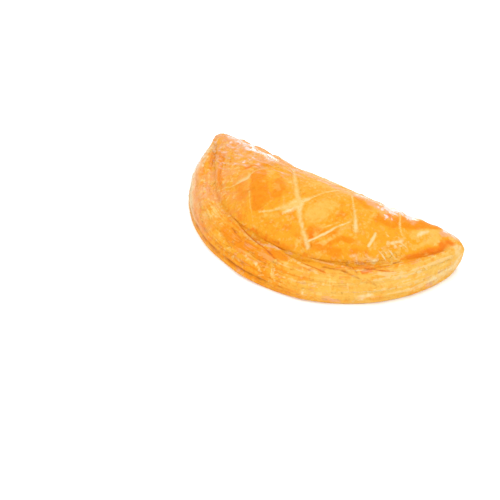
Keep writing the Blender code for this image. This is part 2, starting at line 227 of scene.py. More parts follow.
class Bench:
    """Adds nodes to one tree and links them. It serves geometry trees and materials alike."""

    def __init__(self, tree: bpy.types.NodeTree) -> None:
        """Work on the given tree."""
        self.tree = tree

    def node(self, kind: str, settings: dict[str, Any] | None = None,
             sockets: dict[Any, Any] | None = None) -> bpy.types.Node:
        """Add a node.

        Args:
            kind: the node's type.
            settings: the node's own properties, which are set first.
            sockets: a value or a wire for each input, by name or number.

        Returns:
            The new node.
        """
        node = self.tree.nodes.new(kind)
        for name, value in (settings or {}).items():
            setattr(node, name, value)
        for key, value in (sockets or {}).items():
            if isinstance(value, Wire):
                self.tree.links.new(value.socket, node.inputs[key])
            else:
                node.inputs[key].default_value = value
        return node

    def add(self, kind: str, settings: dict[str, Any] | None = None,
            sockets: dict[Any, Any] | None = None, output: Any = 0) -> Wire:
        """Add a node.

        Args:
            kind: the node's type.
            settings: the node's own properties.
            sockets: a value or a wire for each input, by name or number.
            output: which of its outputs is wanted, by name or number.

        Returns:
            That output.
        """
        return Wire(self, self.node(kind, settings, sockets).outputs[output])

    def maths(self, operation: str, *values: Number) -> Wire:
        """Result of a Math node on one or two values."""
        return self.add("ShaderNodeMath", {"operation": operation}, dict(enumerate(values)))

    def vector(self, operation: str, *values: Any) -> Wire:
        """Result of a Vector Math node on one or two vectors."""
        return self.add("ShaderNodeVectorMath", {"operation": operation}, dict(enumerate(values)))

    def join(self, x: Number, y: Number, z: Number) -> Wire:
        """A vector from its three parts."""
        return self.add("ShaderNodeCombineXYZ", None, {0: x, 1: y, 2: z})

    def split(self, wire: Wire) -> tuple[Wire, Wire, Wire]:
        """The three parts of a vector."""
        node = self.node("ShaderNodeSeparateXYZ", None, {0: wire})
        return Wire(self, node.outputs[0]), Wire(self, node.outputs[1]), Wire(self, node.outputs[2])

    def cloud(self, place: Wire, scale: Triple | float, detail: float = 2.0,
              distortion: float = 0.0, shift: Triple = (0.0, 0.0, 0.0)) -> Wire:
        """Soft random pattern.

        Args:
            place: where in space it is read.
            scale: how many of its waves fit in a metre, the same or not along X, Y and Z.
            detail: how many finer waves lie on the first.
            distortion: how much it swirls.
            shift: moves it, so that two patterns differ.

        Returns:
            The pattern, about 0 and mostly between -1 and 1.
        """
        scales = scale if isinstance(scale, tuple) else (scale, scale, scale)
        moved = self.vector("ADD", self.vector("MULTIPLY", place, scales), shift)
        sockets = {"Vector": moved, "Scale": 1.0, "Detail": detail, "Distortion": distortion}
        return self.add("ShaderNodeTexNoise", {"noise_dimensions": "3D"}, sockets) * 4.0 - 2.0

    def patches(self, place: Wire, scale: float, shift: Triple) -> Wire:
        """A random value from -1 to 1 for each of many small ragged patches.

        Args:
            place: where in space it is read.
            scale: how many patches fit in a metre.
            shift: moves them, so that two patterns differ.

        Returns:
            The value.
        """
        jog = self.vector("MULTIPLY", self.cloud(place, scale * 1.3, 3.0), (0.35 / scale,) * 3)
        moved = self.vector("ADD", self.vector("ADD", place, jog), shift)
        sockets = {"Vector": moved, "Scale": scale, "Smoothness": 0.35}
        shades = self.add("ShaderNodeTexVoronoi", {"feature": "SMOOTH_F1"}, sockets, "Color")
        return self.split(shades)[0] * 2.0 - 1.0

    def mix(self, share: Number, under: Any, over: Any) -> Wire:
        """Lay one colour over another.

        Args:
            share: how much of the upper colour shows.
            under: the lower colour.
            over: the upper colour.

        Returns:
            The mixed colour.
        """
        settings = {"data_type": "RGBA", "blend_type": "MIX", "clamp_result": True}
        paints = {"Factor": share, 6: under, 7: over}
        return self.add("ShaderNodeMix", settings, paints, 2)


class GeometryTree:
    """One Geometry Nodes tree, with a named input for each of its sizes."""

    def __init__(self, name: str, sizes: dict[str, float]) -> None:
        """Open a tree.

        Args:
            name: its name.
            sizes: names of its inputs, and their values when it runs.
        """
        self.group = bpy.data.node_groups.new(name, "GeometryNodeTree")
        sockets = self.group.interface
        sockets.new_socket("Geometry", in_out="INPUT", socket_type="NodeSocketGeometry")
        for label in sizes:
            sockets.new_socket(label, in_out="INPUT", socket_type="NodeSocketFloat")
        sockets.new_socket("Geometry", in_out="OUTPUT", socket_type="NodeSocketGeometry")
        self.sizes = sizes
        self.bench = Bench(self.group)
        entry = self.bench.node("NodeGroupInput")
        self.geometry = Wire(self.bench, entry.outputs["Geometry"])
        self.inputs = {label: Wire(self.bench, entry.outputs[label]) for label in sizes}

    def __getitem__(self, label: str) -> Wire:
        """One of the tree's named inputs."""
        return self.inputs[label]

    def place(self) -> Wire:
        """Places of the points."""
        return self.bench.add("GeometryNodeInputPosition")

    def stored(self, name: str) -> Wire:
        """Read a number stored on the mesh."""
        return self.bench.add("GeometryNodeInputNamedAttribute", {"data_type": "FLOAT"}, {"Name": name})

    def stored_place(self, name: str) -> Wire:
        """Read a place stored on the mesh."""
        settings = {"data_type": "FLOAT_VECTOR"}
        return self.bench.add("GeometryNodeInputNamedAttribute", settings, {"Name": name})

    def store(self, geometry: Wire, name: str, value: Wire) -> Wire:
        """Store a number on every point of the mesh.

        Args:
            geometry: the mesh.
            name: under which it is stored.
            value: the number.

        Returns:
            The mesh with the number.
        """
        settings = {"data_type": "FLOAT", "domain": "POINT"}
        sockets = {"Geometry": geometry, "Name": name, "Value": value}
        return self.bench.add("GeometryNodeStoreNamedAttribute", settings, sockets)

    def close(self, geometry: Wire, material: bpy.types.Material) -> None:
        """End the tree: instances are realized, and the material is set.

        Args:
            geometry: what the tree has made.
            material: its finish.
        """
        real = self.bench.add("GeometryNodeRealizeInstances", None, {"Geometry": geometry})
        dressed = self.bench.add("GeometryNodeSetMaterial", None, {"Geometry": real, "Material": material})
        self.bench.node("NodeGroupOutput", None, {"Geometry": dressed})

    def grow(self, source: bpy.types.Object, name: str) -> bpy.types.Object:
        """Run the tree on an object.

        Args:
            source: the object that the tree starts from. It is removed.
            name: name of the result.

        Returns:
            A plain mesh object with no modifier.
        """
        modifier = source.modifiers.new(name, "NODES")
        modifier.node_group = self.group
        for item in self.group.interface.items_tree:
            if item.in_out == "INPUT" and item.name in self.sizes:
                modifier[item.identifier] = self.sizes[item.name]
        graph = bpy.context.evaluated_depsgraph_get()
        mesh = bpy.data.meshes.new_from_object(source.evaluated_get(graph))
        bpy.data.objects.remove(source, do_unlink=True)
        mesh.name = name
        mesh.shade_smooth()
        return new_object(name, mesh)


@dataclass(frozen=True)
class HalfMoon:
    """Smooth form of the turnover: its footprint, and its sections across the rim and the fold."""

    length: float = 0.160
    width: float = 0.0777
    height: float = 0.0308
    middle_y: float = -0.0382
    fullness_along: float = 1.95
    fullness_left: float = 2.34
    fullness_right: float = 1.95
    rim_skew: float = -0.0007
    fold_bow: float = 0.0028
    fold_flatness: float = 8.0
    tip_rounding: float = 0.0040
    outline_points: int = 1600
    crest_inset: float = 0.0108
    crest_height: float = 0.0150
    crease_inset: float = 0.0165
    crease_height: float = 0.0146
    crest_waver: float = 0.0009
    crest_waver_scale: float = 38.0
    wall_roundness: float = 1.85
    foot_height: float = 0.0030
    foot_undercut: float = 0.0014
    nose_height: float = 0.0130
    nose_undercut: float = 0.0050
    nose_roundness: float = 2.2
    peak_x: float = -0.0023
    peak_setback: float = 0.0295
    dome_spread: float = 2.18
    dome_crown: float = 2.18
    dome_flare: float = 0.8
    fold_spread: float = 1.96
    fold_crown: float = 1.85
    tip_lift: float = 0.0030
    tip_reach: float = 0.0062
    tip_swell: float = 0.0028
    tip_steepness: float = 0.80
    tip_swell_reach: float = 0.022
    tip_start_depth: Pair = (0.50, 0.60)
    rim_start: float = 0.0085
    rim_blend: float = 0.0026
    crease_depth: float = 0.60
    crest_depth: float = 0.70
    foot_depth: float = 0.94
    rim_radius: float = 0.057
    section_lengths: tuple[float, ...] = (-0.045, 0.0, 0.006, 0.023, 0.026)
    cells_along: int = 300
    cells_across: int = 160
    shelf_cells: int = 14
    wall_rows: int = 34

    @staticmethod
    def smooth_step(values: np.ndarray, start: float, end: float) -> np.ndarray:
        """Rise smoothly from 0 at start to 1 at end."""
        share = between(values, start, end)
        return share * share * (3.0 - 2.0 * share)

    @staticmethod
    def even_loop(points: np.ndarray, count: int) -> np.ndarray:
        """Space points evenly round a closed loop.

        Args:
            points: the loop's corners.
            count: how many points are wanted.

        Returns:
            The new points.
        """
        closed = np.vstack([points, points[:1]])
        travelled = np.concatenate([[0.0], np.cumsum(np.hypot(*np.diff(closed, axis=0).T))])
        return on_loop(points, travelled, np.linspace(0.0, travelled[-1], count, endpoint=False))

    def round_corners(self, loop: np.ndarray) -> np.ndarray:
        """Average a loop along itself with a bell curve.

        Args:
            loop: its evenly spaced points.

        Returns:
            The rounder loop.
        """
        spacing = np.hypot(*(loop[1] - loop[0]))
        waves = np.fft.fftfreq(len(loop)) * TAU
        bell = np.exp(-((waves * self.tip_rounding / spacing) ** 2) / 2.0)
        return np.real(np.fft.ifft(np.fft.fft(loop, axis=0) * bell[:, None], axis=0))

    def footprint(self) -> tuple[np.ndarray, float]:
        """Outline on the floor.

        Returns:
            An evenly spaced loop from the +X tip, along the rim first, and the share that is rim.
        """
        sweep = np.linspace(0.0, math.pi, self.outline_points)
        cosine = np.cos(sweep)
        fullness = np.where(cosine < 0.0, self.fullness_left, self.fullness_right)
        rim_x = np.sign(cosine) * np.abs(cosine) ** (2.0 / self.fullness_along) * self.length / 2.0
        rim_y = -self.width * np.sin(sweep).clip(0.0) ** (2.0 / fullness)
        rim_x += self.rim_skew * (rim_y / self.width) * (1.0 - (2.0 * rim_x / self.length) ** 2)
        fold_x = np.linspace(-self.length / 2.0, self.length / 2.0, self.outline_points)[1:-1]
        flatness = np.abs(2.0 * fold_x / self.length) ** self.fold_flatness
        rim = np.stack([rim_x, rim_y], axis=-1)
        fold = np.stack([fold_x, -self.fold_bow * (1.0 - flatness)], axis=-1)
        rim_length = np.hypot(*np.diff(rim, axis=0).T).sum()
        fold_length = np.hypot(*np.diff(fold, axis=0).T).sum()
        loop = self.round_corners(self.even_loop(np.vstack([rim, fold]), self.outline_points))
        loop[:, 0] *= self.length / np.ptp(loop[:, 0])
        return self.even_loop(loop, self.outline_points), rim_length / (rim_length + fold_length)

    def rim_section(self, depth: np.ndarray, radius: np.ndarray, crest: np.ndarray,
                    tuck: np.ndarray) -> tuple[np.ndarray, np.ndarray]:
        """Section across the sealed rim.

        Args:
            depth: 0 on top of the dome, 1 where the wall meets the base.
            radius: distance from the peak to the edge.
            crest: height of the rim's crest.
            tuck: share of the crest's distance from the edge that is left, less than 1 near the tips.

        Returns:
            How far in from the edge, and how high, the crust lies.
        """
        over = between(depth, 0.0, self.crease_depth) * math.pi / 2.0
        shelf = between(depth, self.crease_depth, self.crest_depth)
        down = between(depth, self.crest_depth, self.foot_depth) * math.pi / 2.0
        foot = between(depth, self.foot_depth, 1.0)
        crest_inset, crease_inset = self.crest_inset * tuck, self.crease_inset * tuck
        dome_inset = radius - (radius - crease_inset) * np.sin(over) ** (2.0 / self.dome_spread)
        crown = np.cos(over) ** (2.0 / self.dome_crown)
        dome_share = crown + (np.cos(over) ** 2 - crown) * self.dome_flare
        dome_height = self.crease_height + (self.height - self.crease_height) * dome_share
        shelf_inset = crease_inset + (crest_inset - crease_inset) * shelf
        shelf_height = self.crease_height + (crest - self.crease_height) * np.sin(shelf * math.pi / 2.0)
        wall_inset = crest_inset * (1.0 - np.sin(down) ** (2.0 / self.wall_roundness))
        wall_inset = wall_inset + self.foot_undercut * foot ** 2
        drop = np.cos(down) ** (2.0 / self.wall_roundness)
        wall_height = self.foot_height + (crest - self.foot_height) * drop
        wall_height = np.where(depth > self.foot_depth, self.foot_height * (1.0 - foot), wall_height)
        places = [depth <= self.crease_depth, depth > self.crest_depth]
        inset = np.select(places, [dome_inset, wall_inset], shelf_inset)
        return inset, np.select(places, [dome_height, wall_height], shelf_height)

    def fold_section(self, depth: np.ndarray, radius: np.ndarray) -> tuple[np.ndarray, np.ndarray]:
        """Section across the folded edge.

        Args:
            depth: 0 on top of the dome, 1 where the wall meets the base.
            radius: distance from the peak to the edge.

        Returns:
            How far in from the edge, and how high, the crust lies.
        """
        over = between(depth, 0.0, self.crest_depth) * math.pi / 2.0
        under = between(depth, self.crest_depth, 1.0) * math.pi / 2.0
        top_inset = radius * (1.0 - np.sin(over) ** (2.0 / self.fold_spread))
        rise = np.cos(over) ** (2.0 / self.fold_crown)
        top_height = self.nose_height + (self.height - self.nose_height) * rise
        low_inset = self.nose_undercut * (1.0 - np.cos(under) ** (2.0 / self.nose_roundness))
        low_height = self.nose_height * (1.0 - np.sin(under) ** (2.0 / self.nose_roundness))
        on_top = depth <= self.crest_depth
        return np.where(on_top, top_inset, low_inset), np.where(on_top, top_height, low_height)

    def crest_heights(self, edge: np.ndarray) -> np.ndarray:
        """Height of the rim's crest at points of the outline: it has risen unevenly."""
        places = [Vector((x, y, 0.0)) * self.crest_waver_scale for x, y in edge]
        return self.crest_height + self.crest_waver * np.array([noise.noise(p) for p in places])

    def points(self, depth: np.ndarray, turn: np.ndarray, loop: np.ndarray) -> np.ndarray:
        """Places of the smooth crust's points.

        Args:
            depth: 0 on top of the dome, 1 where the wall meets the base.
            turn: 0 to 1 once round the outline.
            loop: the outline.

        Returns:
            One row of x, y and z for each point.
        """
        edge = on_loop(loop, np.linspace(0.0, 1.0, len(loop) + 1), turn)
        outward = edge - np.array([self.peak_x, -self.peak_setback])
        radius = np.hypot(*outward.T)
        outward /= radius[:, None]
        tip_gap = np.hypot(np.abs(edge[:, 0]) - self.length / 2.0, edge[:, 1])
        near_tip = np.exp(-((tip_gap / self.tip_swell_reach) ** 2))
        crest = self.crest_heights(edge) + self.tip_swell * near_tip
        tuck = 1.0 - self.tip_steepness * near_tip
        rim_inset, rim_height = self.rim_section(depth, radius, crest, tuck)
        fold_inset, fold_height = self.fold_section(depth, radius)
        rim_share = 1.0 / (1.0 + np.exp((edge[:, 1] + self.rim_start) / self.rim_blend))
        inset = fold_inset + (rim_inset - fold_inset) * rim_share
        height = fold_height + (rim_height - fold_height) * rim_share
        lift = self.tip_lift * np.exp(-((tip_gap / self.tip_reach) ** 2) / 2.0)
        lift = lift * self.smooth_step(depth, *self.tip_start_depth)
        lift *= 1.0 - between(depth, self.crest_depth, 1.0)
        ground = edge - inset[:, None] * outward - np.array([0.0, self.middle_y])
        return np.column_stack([ground, height + lift])

    def cell_share(self, cells: int) -> np.ndarray:
        """Set grid lines so that the crease falls on one of them.

        Args:
            cells: how many cells lie between the outer lines.

        Returns:
            The places of the lines, from -1 to 1.
        """
        even = np.linspace(-1.0, 1.0, cells + 1)
        dome_cells = 1.0 - self.shelf_cells / (cells / 2.0)
        crease = self.crease_depth / self.crest_depth
        return np.sign(even) * np.interp(np.abs(even), [0.0, dome_cells, 1.0], [0.0, crease, 1.0])

    def square_turn(self, across: np.ndarray, up: np.ndarray, rim_share: float) -> np.ndarray:
        """Turn of grid points.

        Args:
            across: place along X, from -1 to 1.
            up: place along Y, from -1 to 1.
            rim_share: the share of the outline that is rim.

        Returns:
            0 to 1 once round the outline, clockwise from the +X tip.
        """
        scale = np.maximum(np.maximum(np.abs(across), np.abs(up)), 1e-9)
        across, up = across / scale, up / scale
        sides = [(1.0 - up) / 2.0, (3.0 - across) / 2.0, (5.0 + up) / 2.0, (7.0 + across) / 2.0]
        side = np.choose(np.argmax([across, -up, -across, up], axis=0), sides)
        end_share = self.cells_across / (2.0 * self.cells_across + self.cells_along)
        corners = [0.0, rim_share * end_share, rim_share * (1.0 - end_share), rim_share, 1.0]
        return np.interp(side, range(5), corners)

    def faces(self, numbers: np.ndarray, border: np.ndarray) -> list[list[int]]:
        """Join the points up: the cells of the grid and of the wall's rows, and the base.

        Args:
            numbers: the numbers of the grid's points, one row for each line.
            border: the numbers once round the grid.

        Returns:
            The numbers round each face.
        """
        rings = [border] + [numbers.size + border.size * row + np.arange(border.size)
                            for row in range(self.wall_rows)]
        cells = np.stack([numbers[:-1, :-1], numbers[:-1, 1:], numbers[1:, 1:], numbers[1:, :-1]], axis=-1)
        quads = [cells.reshape(-1, 4)]
        for upper, lower in zip(rings[:-1], rings[1:]):
            quads.append(np.stack([upper, lower, np.roll(lower, -1), np.roll(upper, -1)], axis=-1))
        return np.concatenate(quads).tolist() + [rings[-1][::-1].tolist()]

    def build(self, name: str) -> bpy.types.Object:
        """Make the smooth crust: a grid on top, rows of cells down the wall, and one flat base.

        Args:
            name: name of the object.

        Returns:
            A closed mesh that keeps each point's depth, and its place in a space where the rim is a ring
            and the way down its section is the height.
        """
        across, up = np.meshgrid(self.cell_share(self.cells_along), self.cell_share(self.cells_across))
        across, up = across.ravel(), up.ravel()
        numbers = np.arange(across.size).reshape(self.cells_across + 1, self.cells_along + 1)
        border = np.concatenate([numbers[0, :-1], numbers[:-1, -1], numbers[-1, :0:-1], numbers[:0:-1, 0]])
        loop, rim_share = self.footprint()
        turn = self.square_turn(across, up, rim_share)
        depth = np.maximum(np.abs(across), np.abs(up)) * self.crest_depth
        steps = np.arange(1, self.wall_rows + 1) / self.wall_rows
        row_depths = self.crest_depth + (1.0 - self.crest_depth) * steps
        turn = np.concatenate([turn, np.tile(turn[border], self.wall_rows)])
        depth = np.concatenate([depth, np.repeat(row_depths, border.size)])
        mesh = bpy.data.meshes.new(name)
        mesh.from_pydata(self.points(depth, turn, loop).tolist(), [], self.faces(numbers, border))
        mesh.attributes.new("depth", "FLOAT", "POINT").data.foreach_set("value", depth)
        stops = (0.0, self.crease_depth, self.crest_depth, self.foot_depth, 1.0)
        down = np.interp(depth, stops, self.section_lengths)
        round_x, round_y = self.rim_radius * np.cos(TAU * turn), self.rim_radius * np.sin(TAU * turn)
        ring = np.column_stack([round_x, round_y, down])
        mesh.attributes.new("rim_place", "FLOAT_VECTOR", "POINT").data.foreach_set("vector", ring.ravel())
        mesh.validate()
        return new_object(name, mesh)


@dataclass(frozen=True)
class Stroke:
    """A chain of straight runs on the crust, or a single spot, that fades out over its reach, in mm."""

    points: tuple[Triple, ...]
    reach: float
    strength: float = 1.0


@dataclass(frozen=True)
class Score:
    """One cut of the knife. Each knot has its x and y, and how wide the heat opened the cut, in mm."""

    knots: tuple[Triple, ...]
    paleness: float = 1.0


class Marks:
    """Works out, for every point of the crust, how far it lies from chains of straight runs."""

    def __init__(self, points: np.ndarray, wander: float, fray: float) -> None:
        """Take the crust's points, and push them about so that edges come out uneven.

        Args:
            points: one row of x, y and z for each point.
            wander: how far an edge wanders, in waves of about 8 mm.
            fray: how far it frays, in waves of about 2 mm.
        """
        noise.seed_set(WANDER_SEED)
        rows = [Vector(point) for point in points]
        self.points = np.array([row + noise.noise_vector(row * WANDER_WAVES) * wander
                                + noise.noise_vector(row * FRAY_WAVES) * fray for row in rows])

    @staticmethod
    def gap(points: np.ndarray, start: np.ndarray, end: np.ndarray) -> tuple[np.ndarray, np.ndarray]:
        """Distance from each point to a straight run.

        Args:
            points: one row for each point.
            start: where the run starts.
            end: where it ends.

        Returns:
            The distance, and the share of the run at which its nearest place lies.
        """
        run = end - start
        share = np.clip((points - start) @ run / max(run @ run, 1e-12), 0.0, 1.0)
        return np.linalg.norm(points - start - share[:, None] * run, axis=1), share

    def chain_gap(self, chain: tuple[Triple, ...]) -> np.ndarray:
        """Distance from each point to the nearest run of a chain, or to its one spot."""
        knots = [np.array(knot) / MM_PER_METRE for knot in chain]
        return np.min([self.gap(self.points, a, b)[0] for a, b in zip(knots, knots[1:] or knots)], axis=0)

    def score_gap(self, score: Score) -> tuple[np.ndarray, np.ndarray]:
        """Distance from each point to a score in plan.

        Args:
            score: the cut.

        Returns:
            The distance, and half of the score's width where it is nearest.
        """
        gap, half = np.full(len(self.points), np.inf), np.ones(len(self.points))
        knots = [np.array(knot) / MM_PER_METRE for knot in score.knots]
        for start, end in zip(knots, knots[1:]):
            away, along = self.gap(self.points[:, :2], start[:2], end[:2])
            wide = (start[2] + (end[2] - start[2]) * along) / 2.0
            half = np.where(away / wide < gap / half, wide, half)
            gap = np.where(half == wide, away, gap)
        return gap, half

    def painted(self, strokes: tuple[Stroke, ...]) -> np.ndarray:
        """Paint from several strokes: it falls evenly from 1 on a full stroke to 0 at its reach."""
        gaps = [(s.strength, self.chain_gap(s.points) / (s.reach / MM_PER_METRE)) for s in strokes]
        return np.max([strength * np.clip(1.0 - gap, 0.0, 1.0) for strength, gap in gaps], axis=0)


# Runs that several strokes share, in millimetres, on the left: along the top of the dome, down the
# crease beside the rim, and along the rim's crest.
LEFT_SHOULDER = ((-60.4, 29.3, 22.2), (-44.9, 24.9, 27.7), (-32.9, 23.2, 28.8))
LEFT_CREASE = ((-61.7, 16.5, 19.2), (-55.7, 5.9, 17.5), (-49.2, -2.1, 16.8))
LEFT_CREST = ((-69.9, 23.3, 15.4), (-64.2, 10.5, 14.8))


@dataclass(frozen=True)
class Cuts:
    """What the knife and the heat opened in the crust, and where it sank."""

    scores: tuple[Score, ...] = (
        Score(((-28, -4.5, 0.8), (-24.5, -8.7, 1.6), (-22.6, -11, 0.8), (-16.1, -17.6, 0.5)), 0.6),
        Score(((-20.5, 24.5, 2.6), (-9, 10.3, 2.8), (-2.1, 1.8, 3.4), (2.4, -2.2, 4.6), (6.4, -7.8, 3.6),
               (10.8, -12.6, 2.4), (18, -17.2, 3)), 0.85),
        Score(((18.3, 20.7, 0.7), (23.9, 14.4, 1.2), (27.8, 9.5, 1.8), (31, 5.7, 2.4), (33.7, 2.1, 3.2))),
        Score(((45.5, 24.6, 0.9), (49.9, 18.1, 1.3), (53, 15.4, 1.2)), 0.9),
        Score(((42.2, 7.4, 1.2), (42.7, 4, 1.8), (42.8, 0.3, 1.6)), 1.2),
        Score(((45.8, 11.1, 0.8), (48, 10.6, 0.8)), 1.2),
        Score(((-45.1, -4.4, 1), (-41.5, -3.7, 1.4), (-39.2, -2.4, 0.8), (-38.2, -0.2, 3.4),
               (-35.2, 2.3, 4.6), (-34.5, 5.2, 1.2), (-33.3, 9.2, 0.9), (-30, 12.8, 0.7),
               (-23.5, 16.5, 0.4)), 0.8),
        Score(((-15.3, -13.5, 0.6), (-8.9, -11, 1.8), (-3.7, -7, 3.6), (0, -3, 5.8), (3.5, 1.2, 3),
               (8.5, 12.2, 1.6), (12, 17.5, 1.2), (16.8, 23.3, 0.8)), 0.85),
        Score(((15.6, -16.5, 1.6), (18.4, -13.7, 1.2), (22.1, -8.6, 1.6), (25.1, -2.3, 1.2),
               (29, 4.1, 0.8)), 1.1),
        Score(((19.3, -7.1, 0.6), (22.4, -2.9, 1), (24.9, 0.7, 0.5)), 0.8),
    )
    cracks: tuple[Stroke, ...] = (
        Stroke(((37.5, -12.1, 14.6), (47.9, -15.5, 15.1), (55.9, -13.2, 11.3)), 1, 0.8),
        Stroke(((30, -21.2, 15.2), (40.8, -18.1, 15.1), (49.6, -15.9, 13), (58.5, -11.1, 8.9)), 1.3, 0.9),
        Stroke(((5.7, -32.8, 14.2), (23.1, -29.8, 12.7), (36, -26.5, 11.3)), 1.1, 0.7),
        Stroke(LEFT_CREASE + ((-45.1, -4.4, 16.8),), 1.2, 0.5),
        Stroke(((68.1, 30.6, 20.7), (69.7, 29.5, 19.6), (70.6, 29.2, 18.9)), 1.3, 0.5),
        Stroke(((-30.3, -14.2, 17.7), (-24.5, -16.7, 16.8)), 1),
        Stroke(((-23.9, -24.4, 14.9), (-15.4, -28.5, 14.7)), 1),
        Stroke(((-28.9, -28.2, 13), (-20.7, -31.2, 11.8)), 1, 0.7),
        Stroke(((-37.4, -20.5, 15), (-27.5, -25.7, 14.7)), 0.9, 0.6),
        Stroke(((-23.6, -15.5, 17), (-15.1, -19, 16.4), (-9.3, -20.7, 15.2), (4.5, -20.8, 16.4)), 1.5),
        Stroke(((47.5, -13, 15.7), (55.3, -0.2, 14.9), (57.5, 5, 14.9)), 1.1, 0.85),
        Stroke(((67.5, 0.9, 8.2), (71.1, 6.6, 7.9), (74.8, 14, 8.5), (76.6, 18.8, 8.6)), 0.9, 0.8),
        Stroke(LEFT_CREST, 0.9, 0.5),
        Stroke(((-15.8, -36.2, 2.6), (-9.5, -37.2, 2.2)), 1),
    )
    dents: tuple[Stroke, ...] = (
        Stroke(((-43, 27, 27), (-32, 24, 28.8), (-20, 25, 28)), 11),
    )


